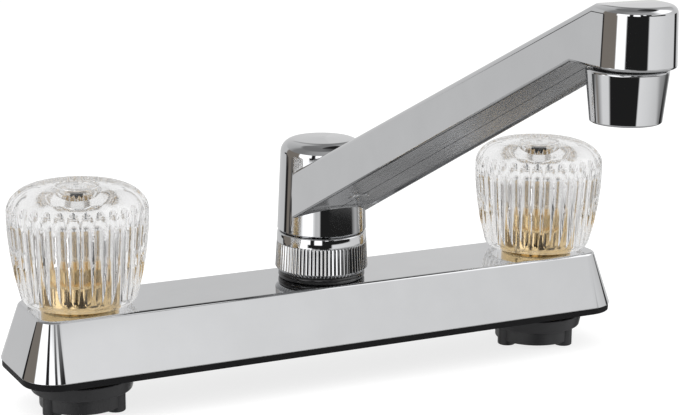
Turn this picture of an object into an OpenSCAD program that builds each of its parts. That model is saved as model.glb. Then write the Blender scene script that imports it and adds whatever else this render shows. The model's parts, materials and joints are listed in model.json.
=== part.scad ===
// Two handle kitchen faucet on 8 inch centres, with a swing spout and clear fluted knobs.
// Origin: middle of the deck face that rests on the sink. +X along the deck, -Y to the front.

/* [Deck cover] */
// Length of the flat top beyond each valve axis
cover_end = 20.5; // [19:0.1:24]
// Spread of each end from the flat top to the foot
cover_end_flare = 6.9; // [5:0.05:10]
// Spread of the front and the back from the flat top to the foot
cover_side_flare = 7.9; // [6:0.1:11]
// Room between the middle block and the cover's inside
cover_side_gap = 0.9; // [0.4:0.1:2]
// Height of the cover without its gasket
cover_h = 21.85; // [19:0.05:25]
// Corner radius in plan at the foot
cover_corner_r = 14; // [11:0.5:16]
// Corner radius in plan at the top
cover_top_corner_r = 7; // [5:0.5:9]
// Rounding of the top edge
cover_edge_r = 0.9; // [0.4:0.1:1.5]
// Wall of the cover
cover_wall = 1.8; // [1.2:0.1:2]
// Thickness of the gasket
gasket_h = 2.6; // [2:0.1:3]
// Step of the gasket behind the foot of the cover
gasket_inset = 0.4; // [0.2:0.1:1.5]

/* [Valves] */
// Distance between the two valve axes
valve_span = 203.2; // [152.4:0.1:254]
// Outer radius of the supply shank
shank_r = 10.3; // [9.9:0.05:10.6]
// Bore radius of the supply shank
shank_bore_r = 6.6; // [6.4:0.05:7]
// Length of the shank below the deck face
shank_drop = 15; // [12:0.5:20]
// Width of the flange that sits on the gasket, beyond the barrel
body_flange_w = 1.5; // [1:0.1:2]
// Thickness of that flange
body_flange_h = 3; // [2:0.1:3.5]
// Web between the valve chamber and the socket of the cross tube
chamber_web = 1.3; // [1:0.1:2]
// Wall of the threaded neck above the cover
neck_wall = 1.8; // [1.4:0.1:2.2]
// Height of the neck above the cover
neck_h = 6; // [5:0.1:7]
// Radius of the valve chamber
chamber_r = 9.1; // [8.8:0.05:9.3]
// Radius of the rubber seat
seat_r = 3.9; // [3.5:0.05:4]
// Height of the rubber seat
seat_h = 2.9; // [2.4:0.1:3.2]
// Radius of the hole in the seat
seat_bore_r = 1.8; // [1.2:0.1:2]
// Distance of the seat from the valve axis
seat_offset = 4.4; // [4.2:0.05:4.6]
// Radius of the inlet port under the seat
inlet_port_r = 2.1; // [1.6:0.1:2.2]
// Depth of the seat's pocket in the chamber floor
seat_pocket_depth = 5.5; // [4.8:0.1:6]
// Wire radius of the seat spring
spring_wire_r = 0.35; // [0.25:0.05:0.4]
// Radius of the spring to the middle of its wire
spring_r = 2.9; // [2.7:0.05:3.1]
// Turns of the seat spring
spring_turns = 3; // [2:1:4]
// Radius of the stem
stem_r = 4.75; // [4.5:0.05:5]
// Depth of the splines
spline_depth = 0.5; // [0.3:0.05:0.7]
// Number of splines
spline_teeth = 16; // [12:1:20]
// Height of the foot disc of the stem
stem_disc_h = 9.2; // [7:0.1:9.5]
// Opening angle of the flow notch in the foot disc
notch_angle = 130; // [110:1:140]
// Radius of the stem seal's section
stem_ring_r = 0.9; // [0.7:0.05:1]
// Radius of the round sleeve of the bonnet
bonnet_r = 14.7; // [13.5:0.1:15.5]
// Height of the sleeve
bonnet_h = 11.5; // [10:0.1:13]
// Hexagon on top of the sleeve, across flats
bonnet_flats = 22.2; // [20:0.1:24]
// Height of the hexagon
bonnet_hex_h = 5.8; // [4:0.1:7]
// Chamfer of the bonnet edges
bonnet_chamfer = 0.9; // [0.5:0.1:1.2]

/* [Waterway] */
// Outer radius of the cross tubes
tube_r = 6.35; // [6.2:0.05:6.6]
// Wall of the cross tubes
tube_wall = 0.9; // [0.7:0.05:1.2]
// Room between the cross tubes and the cover's underside
tube_gap = 1.7; // [0.8:0.1:2.5]
// Depth of the sockets that hold the tubes
socket_depth = 2.6; // [2:0.1:3]
// Radius of the ports into the tubes
tube_port_r = 3.4; // [3:0.1:3.6]
// Radius of the threaded base of the post
post_base_r = 13.6; // [12.8:0.1:14]
// Step from that base out to the middle block under the cover
block_step = 1.6; // [1.2:0.1:2.4]
// Height of the post above the cover
post_h = 29.5; // [28:0.1:31]
// Wall of the post
post_wall = 4.5; // [4:0.1:5.5]
// Section radius of the post seals
post_ring_r = 1.3; // [1:0.05:1.4]
// Distance between the two post seals
post_ring_gap = 5; // [4:0.1:5.6]
// Distance of the upper post seal from the top of the post
post_ring_drop = 4; // [3:0.1:5]

/* [Mounting nuts] */
// Radius of the nut's flange
nut_flange_r = 20.3; // [19:0.1:22]
// Taper of the flange towards its lower edge
nut_flange_taper = 0.9; // [0.4:0.1:1.5]
// Height of the flange
nut_flange_h = 5.5; // [4:0.1:7]
// Room for the sink's deck between the gasket and the nuts
deck_gap = 2.4; // [2.4:0.1:6]
// Wall of the nut's hub round the shank
nut_hub_wall = 2; // [1.6:0.1:2.4]
// Height of the hub below the flange
nut_hub_h = 6.6; // [5:0.1:7]
// Radius of the skirt between flange and lobes
nut_skirt_r = 16.3; // [15.5:0.1:17]
// Height of that skirt
nut_skirt_h = 4.4; // [3:0.1:5]
// Radius of each lobe
lobe_r = 3.4; // [2.8:0.1:4]
// Height of the lobes below the flange
lobe_h = 8; // [7:0.1:9]
// Number of lobes
lobe_count = 3; // [3:1:4]
// Turn of the hot side's nut, in degrees
hot_nut_turn = -13; // [-60:1:60]
// Turn of the cold side's nut, in degrees
cold_nut_turn = 27; // [-60:1:60]

/* [Knobs] */
// Height of the knob
knob_h = 44.2; // [42:0.2:46]
// Gap between the knob and the cover
knob_lift = 2.3; // [1.5:0.1:3]
// Radius of the knob's foot
knob_foot_r = 21.4; // [21:0.1:22]
// Largest radius of the knob
knob_belly_r = 26.6; // [26:0.1:27.5]
// Height of the rounded shoulder above the largest radius
knob_crown_h = 9.6; // [8:0.1:11]
// Radius of the flat top
knob_top_r = 13.8; // [12:0.1:16]
// Wall of the knob at its foot
knob_wall = 2.6; // [2.2:0.1:3]
// Thickness of the knob's solid top
knob_top_t = 12; // [11:0.1:13]
// Wall of the knob at the ceiling of its hollow
knob_ceiling_wall = 7.2; // [6.4:0.1:8.4]
// Radius of the splined boss inside the knob
boss_r = 8.6; // [7.5:0.1:9]
// Gap between the bonnet and the boss
boss_gap = 2.5; // [1:0.1:4]
// Number of flutes round the knob
flute_count = 32; // [24:4:36]
// Radius of the round cutter that makes a flute
flute_r = 2.2; // [1.8:0.1:2.4]
// Depth of a flute where the knob is widest
flute_depth = 2.1; // [1.2:0.1:2.4]
// Step of the flutes' floor out from the foot, where they start
flute_foot_step = 0.8; // [0.5:0.1:1.2]
// Height above the foot where they start
flute_start_h = 3.5; // [2.5:0.1:5]
// Radius of the index button
button_r = 7.9; // [7:0.1:9]
// Thickness of the index button
button_h = 2.6; // [2:0.1:3]
// Radius of the small dimple in the button
dimple_r = 1.8; // [1:0.1:2.5]
// Depth of that dimple
dimple_depth = 0.35; // [0.2:0.05:0.5]
// Radius of the knob screw
screw_r = 1.9; // [1.6:0.05:2.1]
// Radius of the screw head
screw_head_r = 3.8; // [3.4:0.1:4.2]
// Height of the screw head
screw_head_h = 2.2; // [1.8:0.1:2.4]
// Length of the screw under its head
screw_l = 12; // [10:0.5:13]
// Width of the screwdriver slot
slot_w = 0.9; // [0.7:0.05:1.1]
// Depth of the screwdriver slot
slot_depth = 1; // [0.7:0.05:1.2]
// Web of the knob between stem and screw head
knob_web = 2.6; // [2:0.1:3]
// Depth of the screw head's pocket under the button
head_pocket_depth = 6; // [4:0.1:6.4]

/* [Spout] */
// Reach from the spout's axis to the outlet's axis
spout_reach = 203.2; // [190:0.2:215]
// Centre of the round nose beyond the outlet's axis
nose_lead = 3.3; // [2.5:0.1:3.6]
// Wall of the ring nut round the post's thread at its top, which gives the hub its radius
nut_wall = 4.1; // [3.8:0.1:4.6]
// Taper of the hub up to its top
hub_taper = 1.2; // [0.8:0.1:1.6]
// Height of the hub's top above the cover
hub_top_h = 55.9; // [54:0.1:57]
// Rounding of the hub's top edge
hub_edge_r = 5.5; // [4:0.1:6.5]
// Crown of the hub's top
hub_crown = 0.5; // [0.2:0.1:0.8]
// Step from the hub's radius to the arm's half width there, along its lower edge
arm_step = 1.4; // [1.2:0.1:2.2]
// Half width of the arm at the head
arm_head_w = 12.3; // [11.8:0.1:12.6]
// Draft of the arm's sides, in degrees
arm_draft = 1.5; // [0.5:0.1:2]
// Height above the cover of the arm's lower edge on the spout's axis
arm_low_h = 22.9; // [22:0.1:25]
// Depth of the arm on the spout's axis
arm_h = 19.6; // [17:0.1:21]
// Rise of the lower edge over the reach
arm_rise = 97.6; // [80:0.1:110]
// Loss of the arm's depth over the reach
arm_taper = 6; // [5:0.1:8]
// Drop of the head's flat underside below the arm's lower edge at the outlet
head_drop = 6; // [5:0.1:8]
// Drop of the head's level top below the arm's upper edge at the outlet
head_ease = 0.6; // [0.3:0.1:1]
// Rounding of the arm's and the head's upper edges
arm_edge_r = 2.4; // [1.6:0.1:2.6]
// Rounding of the lower edges
arm_low_edge_r = 0.9; // [0.5:0.1:1.2]
// Wall of the hollow arm
arm_wall = 1.9; // [1.6:0.1:2.1]
// Width of the bright lips along the arm's underside
lip_w = 1.3; // [1:0.1:1.6]
// Depth of the underside between those lips
belly_depth = 0.5; // [0.3:0.1:0.7]
// Width of the seam along the underside
seam_w = 0.5; // [0.3:0.1:0.8]
// Radius of the plug in the underside near the hub
plug_r = 4; // [3:0.1:4.5]
// Distance of that plug from the spout's axis
plug_reach = 32; // [28:0.5:36]
// Height of that plug
plug_proud = 0.3; // [0.2:0.05:0.45]

/* [Spout nut] */
// Flare of the ring nut from the hub's radius to its foot
ring_flare = 0.9; // [0.5:0.1:1.4]
// Height of the ring nut
ring_h = 16; // [14:0.1:17]
// Height of the plain band above the ribs
ring_band_h = 4; // [3:0.1:5]
// Bevel at the nut's foot
ring_bevel = 1.5; // [1:0.1:2]
// Number of ribs round the nut
rib_count = 72; // [60:4:80]
// Depth of the grooves between the ribs
rib_depth = 0.55; // [0.4:0.05:0.7]
// Share of the rib's pitch that the groove takes
groove_share = 0.5; // [0.4:0.05:0.6]
// Thickness of the washer under the nut
washer_h = 2.9; // [2:0.1:3.5]
// Step of the washer in from the nut's foot
washer_step = 1.3; // [0.8:0.1:2]
// Step of the spout's stub in from the thread of the post's base
stub_step = 0.8; // [0.6:0.05:1]
// Wall of that stub
stub_wall = 2.3; // [2:0.1:2.8]
// Length of the stub below the split ring's groove
stub_lip = 1.2; // [0.8:0.1:2]
// Thickness of the nut's inner shoulder
shoulder_h = 2.6; // [2:0.1:3]
// Height of the split ring under the shoulder
retainer_h = 2; // [1.6:0.1:2.2]
// Depth of the groove that holds the split ring
retainer_groove = 0.9; // [0.7:0.05:1.1]
// Opening of the split ring
retainer_split = 3; // [2:0.1:4]

/* [Aerator] */
// Step of the aerator out from its threaded spigot
aerator_step = 2.4; // [2:0.05:2.6]
// Taper of the aerator down to its foot
aerator_taper = 1.6; // [1:0.05:2]
// Height of the part that shows
aerator_h = 16.7; // [15:0.1:18]
// Rounding of its edges
aerator_edge_r = 0.7; // [0.4:0.1:0.9]
// Wall of the head round its threaded spigot
head_wall = 2.3; // [2:0.1:2.6]
// Height of its spigot
spigot_h = 6; // [5:0.1:7]
// Wall of the spigot
spigot_wall = 1.1; // [0.9:0.05:1.4]
// Thickness of the aerator's washer
aerator_washer_h = 1.6; // [1.2:0.1:2]
// Number of rings in the outlet grid
grid_rings = 3; // [2:1:4]
// Number of spokes in the outlet grid
grid_spokes = 12; // [8:2:16]
// Width of the grid's bars
grid_bar = 0.7; // [0.5:0.05:0.9]
// Height of the grid
grid_h = 3; // [2:0.1:4]
// Step of the grid above the housing's foot
grid_step = 0.8; // [0.4:0.1:1.2]
// Thickness of the screen
screen_h = 0.6; // [0.4:0.1:0.8]
// Radius of the holes in the screen
screen_hole_r = 0.7; // [0.5:0.05:0.8]

/* [Fits] */
// Radial clearance of parts that turn in each other
run_gap = 0.05; // [0.03:0.01:0.08]
// Radial clearance of parts that are put together once
loose_gap = 0.1; // [0.05:0.01:0.2]
// Gap between faces that pass each other
face_gap = 0.2; // [0.1:0.05:0.3]

/* [Hidden] */
$fn = 72;
// Overrun of every cut
cut = 1;
// Thickness of the slices that a hull joins
skin = 0.02;
// Facets of what goes into a hull
hull_fn = 32;
// Steps of a rounded edge and of the knob's curves
edge_steps = 5;
side_steps = 8;
// Exponent of the knob's side, from a straight cone at 1 to a drum above 2
side_power = 2;
// Web over the flow notch, and between the supply bore and the seat pocket
port_web = 1.4;
// Thickness of the hub's closed top
hub_cap = 5;
// Small bevel on brass edges
bevel = 0.6;

chrome = [0.8, 0.81, 0.83];
brass = [0.79, 0.62, 0.32];
copper = [0.72, 0.45, 0.32];
black = [0.09, 0.09, 0.1];
clear = [0.93, 0.95, 0.96, 0.45];
steel = [0.7, 0.7, 0.72];
rubber = [0.12, 0.12, 0.13];
nylon = [0.88, 0.88, 0.85];

// Radii of the spout's bearing, from the post's thread inwards, and of the middle block
stub_r = post_base_r - stub_step;
post_r = stub_r - stub_wall;
post_bore_r = post_r - post_wall;
block_r = post_base_r + block_step;

// Radii of the valves, from the chamber outwards
neck_r = chamber_r + neck_wall;
body_r = chamber_r + chamber_web + socket_depth;
body_flange_r = body_r + body_flange_w;
nut_hub_r = shank_r + loose_gap + nut_hub_wall;

// Size of the cover, round the valves and the middle block
cover_top_l = valve_span + 2 * cover_end;
cover_l = cover_top_l + 2 * cover_end_flare;
cover_top_w = 2 * (block_r + cover_side_gap + cover_wall);
cover_w = cover_top_w + 2 * cover_side_flare;

// Heights of the main faces above the deck face
top_z = gasket_h + cover_h;
under_z = top_z - cover_wall;
tube_z = under_z - tube_gap - tube_r;
floor_z = tube_z - tube_port_r - face_gap;
pocket_z = floor_z - seat_pocket_depth;
disc_z = floor_z + face_gap;
disc_top_z = disc_z + stem_disc_h;
bonnet_top_z = top_z + bonnet_h + bonnet_hex_h;
ring_z = top_z + washer_h;
ring_top_z = ring_z + ring_h;
shoulder_z = ring_top_z - shoulder_h;
groove_z = shoulder_z - 2 * face_gap - retainer_h;
stub_z = groove_z - stub_lip;
hub_z = ring_top_z + face_gap;
hub_top_z = top_z + hub_top_h;

// Heights of the knobs, from their flat tops down to the stems that carry them
knob_z = top_z + knob_lift;
recess_h = knob_h - button_h - face_gap;
seat_of_head_h = recess_h - head_pocket_depth;
socket_top_h = seat_of_head_h - knob_web;
boss_start_h = bonnet_top_z + boss_gap - knob_z;
stem_top_z = knob_z + socket_top_h - face_gap;
knob_belly_h = knob_h - knob_crown_h;
knob_hollow_h = knob_h - knob_top_t;

// Lines and places along the spout, measured as a distance s from its axis
hub_r = post_base_r + nut_wall;
hub_top_r = hub_r - hub_taper;
arm_hub_w = hub_r - arm_step;
low_slope = arm_rise / spout_reach;
high_slope = (arm_rise - arm_taper) / spout_reach;
low_angle = atan(low_slope);
high_angle = atan(high_slope);
function low_z(s) = top_z + arm_low_h + low_slope * s;
function high_z(s) = top_z + arm_low_h + arm_h + high_slope * s;
function side_w(s, z) = arm_hub_w - (arm_hub_w - arm_head_w) * s / spout_reach
    - tan(arm_draft) * (z - low_z(s));
head_z = low_z(spout_reach) - head_drop;
head_top_z = high_z(spout_reach) - head_ease;
kink_s = spout_reach - head_drop / low_slope;
crest_s = spout_reach - head_ease / high_slope;
nose_s = spout_reach + nose_lead;
nose_r = side_w(nose_s, head_z);
nose_top_r = side_w(nose_s, head_top_z);

// Sizes of the ring nut and of the aerator
ring_r = hub_r + ring_flare;
washer_r = ring_r - washer_step;
spigot_r = arm_head_w - head_wall;
aerator_bore_r = spigot_r - spigot_wall;
aerator_r = spigot_r + aerator_step;
aerator_low_r = aerator_r - aerator_taper;
outlet_top_z = head_z + spigot_h + aerator_washer_h;
aerator_z = head_z - face_gap - aerator_h;

// Points of an arc round [x, y]
function arc(x, y, r, from, to, steps = edge_steps) =
    [for (i = [0:steps]) let (a = from + (to - from) * i / steps) [x + r * cos(a), y + r * sin(a)]];

// Moves what follows to a valve, the cold side as a mirror of the hot one
module hot() { translate([-valve_span / 2, 0, 0]) children(); }
module cold() { mirror([1, 0, 0]) hot() children(); }

// A tube or disc between two heights
module ring(outer, inner, from, to) {
    translate([0, 0, from]) difference() {
        cylinder(r = outer, h = to - from);
        translate([0, 0, -cut]) cylinder(r = inner, h = to - from + 2 * cut);
    }
}

// A bore between two heights
module bore(r, from, to) { translate([0, 0, from]) cylinder(r = r, h = to - from); }

// Rounded rectangle in plan
module plan(l, w, r) {
    square([l, w - 2 * r], center = true);
    square([l - 2 * r, w], center = true);
    for (x = [-1, 1], y = [-1, 1]) translate([x * (l / 2 - r), y * (w / 2 - r)]) circle(r);
}

// A thin slice of the cover at a height, drawn in by an inset
module cover_slice(h, inset, from) {
    t = h / cover_h;
    l = cover_l + (cover_top_l - cover_l) * t - 2 * inset;
    w = cover_w + (cover_top_w - cover_w) * t - 2 * inset;
    r = cover_corner_r + (cover_top_corner_r - cover_corner_r) * t - inset;
    translate([0, 0, from]) linear_extrude(skin) plan(l, w, r, $fn = hull_fn);
}

module cover_outside() {
    hull() {
        cover_slice(0, 0, 0);
        for (i = [0:edge_steps]) {
            a = 90 * i / edge_steps;
            h = cover_h - cover_edge_r * (1 - sin(a));
            cover_slice(h, cover_edge_r * (1 - cos(a)), h - skin);
        }
    }
}

module cover_hollow() {
    hull() {
        cover_slice(0, cover_wall, -cut);
        cover_slice(0, cover_wall, 0);
        cover_slice(cover_h - cover_wall, cover_wall, cover_h - cover_wall - skin);
    }
}

module deck_cover() {
    color(chrome) difference() {
        translate([0, 0, gasket_h]) difference() {
            cover_outside();
            cover_hollow();
        }
        hot() bore(neck_r + loose_gap, under_z - cut, top_z + cut);
        cold() bore(neck_r + loose_gap, under_z - cut, top_z + cut);
        bore(post_base_r + loose_gap, under_z - cut, top_z + cut);
    }
}

module base_gasket() {
    color(black) difference() {
        linear_extrude(gasket_h)
            plan(cover_l - 2 * gasket_inset, cover_w - 2 * gasket_inset, cover_corner_r - gasket_inset);
        hot() bore(shank_r + loose_gap, -cut, gasket_h + cut);
        cold() bore(shank_r + loose_gap, -cut, gasket_h + cut);
    }
}

// Socket and port for a cross tube, along +X from the axis
module tube_socket(r) {
    translate([0, 0, tube_z]) rotate([0, 90, 0]) {
        translate([0, 0, r - socket_depth]) cylinder(r = tube_r + loose_gap, h = socket_depth + cut);
        cylinder(r = tube_port_r, h = r);
    }
}

module valve_body() {
    difference() {
        rotate_extrude() polygon([
            [0, -shank_drop], [shank_r - bevel, -shank_drop], [shank_r, bevel - shank_drop],
            [shank_r, gasket_h], [body_flange_r, gasket_h], [body_flange_r, gasket_h + body_flange_h],
            [body_r, gasket_h + body_flange_h], [body_r, under_z], [neck_r, under_z],
            [neck_r, top_z + neck_h - bevel], [neck_r - bevel, top_z + neck_h], [0, top_z + neck_h]
        ]);
        bore(shank_bore_r, -shank_drop - cut, pocket_z - port_web);
        bore(chamber_r, floor_z, top_z + neck_h + cut);
        translate([0, seat_offset, 0]) {
            bore(seat_r + loose_gap, pocket_z, floor_z + cut);
            bore(inlet_port_r, pocket_z - port_web - cut, floor_z);
        }
        tube_socket(body_r);
    }
}

module cross_tube() {
    start = body_r - socket_depth + face_gap;
    end = valve_span / 2 - block_r + socket_depth - face_gap;
    translate([start, 0, tube_z]) rotate([0, 90, 0]) ring(tube_r, tube_r - tube_wall, 0, end - start);
}

// Height of a post seal, the upper one first
function post_ring_z(i) = top_z + post_h - post_ring_drop - i * post_ring_gap;

module spout_post() {
    ring_out = post_ring_r + loose_gap;
    base_top_z = stub_z - face_gap;
    color(brass) difference() {
        rotate_extrude() polygon([
            [0, gasket_h], [block_r, gasket_h], [block_r, under_z], [post_base_r, under_z],
            [post_base_r, base_top_z - bevel], [post_base_r - bevel, base_top_z],
            [post_r, base_top_z], [post_r, top_z + post_h - bevel],
            [post_r - bevel, top_z + post_h], [0, top_z + post_h]
        ]);
        bore(post_bore_r, tube_z - tube_port_r, top_z + post_h + cut);
        tube_socket(block_r);
        mirror([1, 0, 0]) tube_socket(block_r);
        for (i = [0, 1])
            ring(post_r + cut, post_r - 2 * ring_out, post_ring_z(i) - ring_out, post_ring_z(i) + ring_out);
    }
}

module post_o_rings() {
    color(rubber) for (i = [0, 1]) translate([0, 0, post_ring_z(i)])
        rotate_extrude() translate([post_r - post_ring_r, 0]) circle(post_ring_r, $fn = hull_fn);
}

module seat() {
    top = disc_z - run_gap;
    translate([0, seat_offset, 0]) ring(seat_r, seat_bore_r, top - seat_h, top);
}

// Coil of the seat spring, swept as one unbroken wire
spring_steps = 14;
wire_sides = 6;
module seat_spring() {
    low = pocket_z + spring_wire_r;
    rise = disc_z - run_gap - seat_h - spring_wire_r - low;
    count = spring_turns * spring_steps;
    points = [for (i = [0:count], k = [0:wire_sides - 1]) let (
        turn = 360 * i / spring_steps, side = 360 * k / wire_sides,
        r = spring_r + spring_wire_r * cos(side)
    ) [r * cos(turn), r * sin(turn), low + rise * i / count + spring_wire_r * sin(side)]];
    sides = [for (i = [0:count - 1], k = [0:wire_sides - 1]) let (
        a = i * wire_sides + k, b = i * wire_sides + (k + 1) % wire_sides
    ) [a, b, b + wire_sides, a + wire_sides]];
    start = [for (k = [wire_sides - 1:-1:0]) k];
    end = [for (k = [0:wire_sides - 1]) count * wire_sides + k];
    translate([0, seat_offset, 0]) polyhedron(points, concat([start, end], sides));
}

// Star outline of the splines
module spline(r, h) {
    linear_extrude(h) polygon([for (i = [0:2 * spline_teeth - 1])
        let (a = 180 * i / spline_teeth, d = i % 2 == 0 ? r : r - spline_depth) [d * cos(a), d * sin(a)]]);
}

// Height of the stem seal, inside the bonnet's sleeve
seal_z = top_z + bonnet_h - bonnet_h / 3;
module stem() {
    floor_r = stem_r - 2 * stem_ring_r - loose_gap;
    half = stem_ring_r + loose_gap;
    spline_z = knob_z + boss_start_h;
    difference() {
        union() {
            rotate_extrude() polygon([
                [0, disc_z], [chamber_r - run_gap, disc_z], [chamber_r - run_gap, disc_top_z],
                [stem_r, disc_top_z], [stem_r, seal_z - half], [floor_r, seal_z - half],
                [floor_r, seal_z + half], [stem_r, seal_z + half], [stem_r, spline_z], [0, spline_z]
            ]);
            translate([0, 0, spline_z]) spline(stem_r, stem_top_z - spline_z);
        }
        // Flow notch, which lies over the tube's port and clear of the seat while the valve is shut
        translate([0, 0, disc_z - cut]) difference() {
            rotate([0, 0, -45]) linear_extrude(stem_disc_h - port_web + cut)
                polygon(concat([[0, 0]], arc(0, 0, 2 * chamber_r, -notch_angle / 2, notch_angle / 2)));
            cylinder(r = seat_offset - seat_bore_r, h = stem_disc_h + cut);
        }
        bore(screw_r + loose_gap, stem_top_z - screw_l, stem_top_z + cut);
    }
}

module stem_o_ring() {
    translate([0, 0, seal_z])
        rotate_extrude() translate([stem_r - stem_ring_r, 0]) circle(stem_ring_r, $fn = hull_fn);
}

module bonnet() {
    corner_r = bonnet_flats / 2 / cos(30);
    hex_z = top_z + bonnet_h;
    plug_z = disc_top_z + face_gap;
    difference() {
        union() {
            rotate_extrude() polygon([
                [0, top_z], [bonnet_r - bonnet_chamfer, top_z], [bonnet_r, top_z + bonnet_chamfer],
                [bonnet_r, hex_z - bonnet_chamfer], [bonnet_r - bonnet_chamfer, hex_z], [0, hex_z]
            ]);
            intersection() {
                translate([0, 0, hex_z]) cylinder(r = corner_r, h = bonnet_hex_h, $fn = 6);
                rotate_extrude() polygon([
                    [0, hex_z], [corner_r, hex_z], [corner_r, bonnet_top_z - bonnet_chamfer],
                    [corner_r - 2 * bonnet_chamfer, bonnet_top_z], [0, bonnet_top_z]
                ]);
            }
            bore(chamber_r - loose_gap, plug_z, hex_z);
        }
        ring(neck_r + loose_gap, chamber_r - loose_gap, top_z - cut, top_z + neck_h + face_gap);
        bore(stem_r + run_gap, plug_z - cut, bonnet_top_z + cut);
    }
}

module wing_nut(turn) {
    nut_z = -deck_gap;
    flange_z = nut_z - nut_flange_h;
    skirt_z = flange_z - nut_skirt_h;
    flange_low_r = nut_flange_r - nut_flange_taper;
    lobe_offset = nut_skirt_r - lobe_r;
    difference() {
        union() {
            rotate_extrude() polygon([
                [0, nut_z], [nut_flange_r - bevel, nut_z], [nut_flange_r, nut_z - bevel],
                [nut_flange_r, nut_z - nut_flange_h / 2], [flange_low_r, flange_z + bevel],
                [flange_low_r - bevel, flange_z], [nut_skirt_r, flange_z],
                [nut_skirt_r, skirt_z + bevel], [nut_skirt_r - bevel, skirt_z], [nut_hub_r, skirt_z],
                [nut_hub_r, flange_z - nut_hub_h], [0, flange_z - nut_hub_h]
            ]);
            for (i = [0:lobe_count - 1]) rotate([0, 0, 90 + turn + 360 * i / lobe_count])
                translate([lobe_offset, 0, flange_z - lobe_h]) {
                    cylinder(r1 = lobe_r - bevel, r2 = lobe_r, h = bevel);
                    translate([0, 0, bevel]) cylinder(r = lobe_r, h = lobe_h - bevel);
                }
        }
        bore(shank_r + loose_gap, flange_z - lobe_h - cut, 0);
    }
}

// Side of the knob from its foot to its belly, and the shoulder from there to the flat top
function knob_side() = [for (i = [1:side_steps]) let (u = i / side_steps)
    [knob_belly_r - (knob_belly_r - knob_foot_r) * pow(1 - u, side_power), knob_belly_h * u]];
function knob_shoulder() = [for (i = [1:edge_steps]) let (a = 90 * i / edge_steps)
    [knob_top_r + (knob_belly_r - knob_top_r) * cos(a), knob_belly_h + (knob_h - knob_belly_h) * sin(a)]];

module knob() {
    hollow_top_r = knob_belly_r - knob_ceiling_wall;
    flute_low_r = knob_foot_r + flute_foot_step;
    flute_high_r = knob_belly_r - flute_depth;
    flute_tilt = atan((flute_high_r - flute_low_r) / (knob_belly_h - flute_start_h));
    flute_l = knob_h / cos(flute_tilt);
    translate([0, 0, knob_z]) difference() {
        rotate_extrude() polygon(concat(
            [[knob_foot_r - knob_wall, 0], [knob_foot_r - bevel, 0], [knob_foot_r, bevel]],
            knob_side(), knob_shoulder(),
            [[button_r + loose_gap, knob_h], [button_r + loose_gap, recess_h],
            [screw_head_r + loose_gap, recess_h], [screw_head_r + loose_gap, seat_of_head_h],
            [screw_r + loose_gap, seat_of_head_h], [screw_r + loose_gap, boss_start_h],
            [boss_r, boss_start_h], [boss_r, knob_hollow_h], [hollow_top_r, knob_hollow_h]]
        ));
        translate([0, 0, boss_start_h - cut]) spline(stem_r + loose_gap, socket_top_h - boss_start_h + cut);
        // Flutes, whose floors lean outwards from foot to shoulder
        for (i = [0:flute_count - 1]) rotate([0, 0, 360 * i / flute_count])
            translate([flute_low_r + flute_r, 0, flute_start_h]) rotate([0, flute_tilt, 0])
                translate([0, 0, -flute_start_h]) cylinder(r = flute_r, h = flute_l);
    }
}

module knob_screw() {
    head_z = knob_z + seat_of_head_h;
    difference() {
        rotate_extrude() polygon([
            [0, head_z - screw_l], [screw_r, head_z - screw_l], [screw_r, head_z],
            [screw_head_r, head_z], [screw_head_r, head_z + screw_head_h - bevel],
            [screw_head_r - bevel, head_z + screw_head_h], [0, head_z + screw_head_h]
        ]);
        translate([-screw_head_r - cut, -slot_w / 2, head_z + screw_head_h - slot_depth])
            cube([2 * (screw_head_r + cut), slot_w, slot_depth + cut]);
    }
}

module index_button() {
    translate([0, 0, knob_z + knob_h - button_h]) difference() {
        rotate_extrude() polygon([
            [0, 0], [button_r, 0], [button_r, button_h - dimple_depth],
            [button_r - dimple_depth, button_h], [0, button_h]
        ]);
        translate([0, 0, button_h - dimple_depth])
            cylinder(r1 = dimple_r / 2, r2 = dimple_r, h = dimple_depth);
    }
}

// Upright slice across the arm at a place along it, with rounded corners
module arm_slice(s, low, high) {
    right = concat(
        arc(side_w(s, low + arm_low_edge_r) - arm_low_edge_r, low + arm_low_edge_r, arm_low_edge_r, -90, 0),
        arc(side_w(s, high - arm_edge_r) - arm_edge_r, high - arm_edge_r, arm_edge_r, 0, 90)
    );
    left = [for (i = [len(right) - 1:-1:0]) [-right[i][0], right[i][1]]];
    translate([0, -s, 0]) rotate([90, 0, 0]) linear_extrude(skin) polygon(concat(right, left));
}

// The arm starts inside the hub and ends where its underside turns level
module arm_beam() {
    hull() for (s = [arm_edge_r, kink_s]) arm_slice(s, low_z(s), high_z(s));
}

// The head's back half, from the arm's kink to the middle of its nose
module head_block() {
    hull() for (s = [kink_s, crest_s, nose_s - skin]) arm_slice(s, head_z, min(high_z(s), head_top_z));
}

module head_nose() {
    translate([0, -nose_s, 0]) rotate_extrude() polygon(concat(
        [[0, head_z]],
        arc(nose_r - arm_low_edge_r, head_z + arm_low_edge_r, arm_low_edge_r, -90, 0),
        arc(nose_top_r - arm_edge_r, head_top_z - arm_edge_r, arm_edge_r, 0, 90),
        [[0, head_top_z]]
    ));
}

module spout_hub() {
    rotate_extrude() polygon(concat(
        [[0, stub_z], [stub_r - bevel, stub_z], [stub_r, stub_z + bevel], [stub_r, hub_z], [hub_r, hub_z]],
        arc(hub_top_r - hub_edge_r, hub_top_z - hub_edge_r, hub_edge_r, 0, 90),
        [[0, hub_top_z + hub_crown]]
    ));
}

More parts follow.
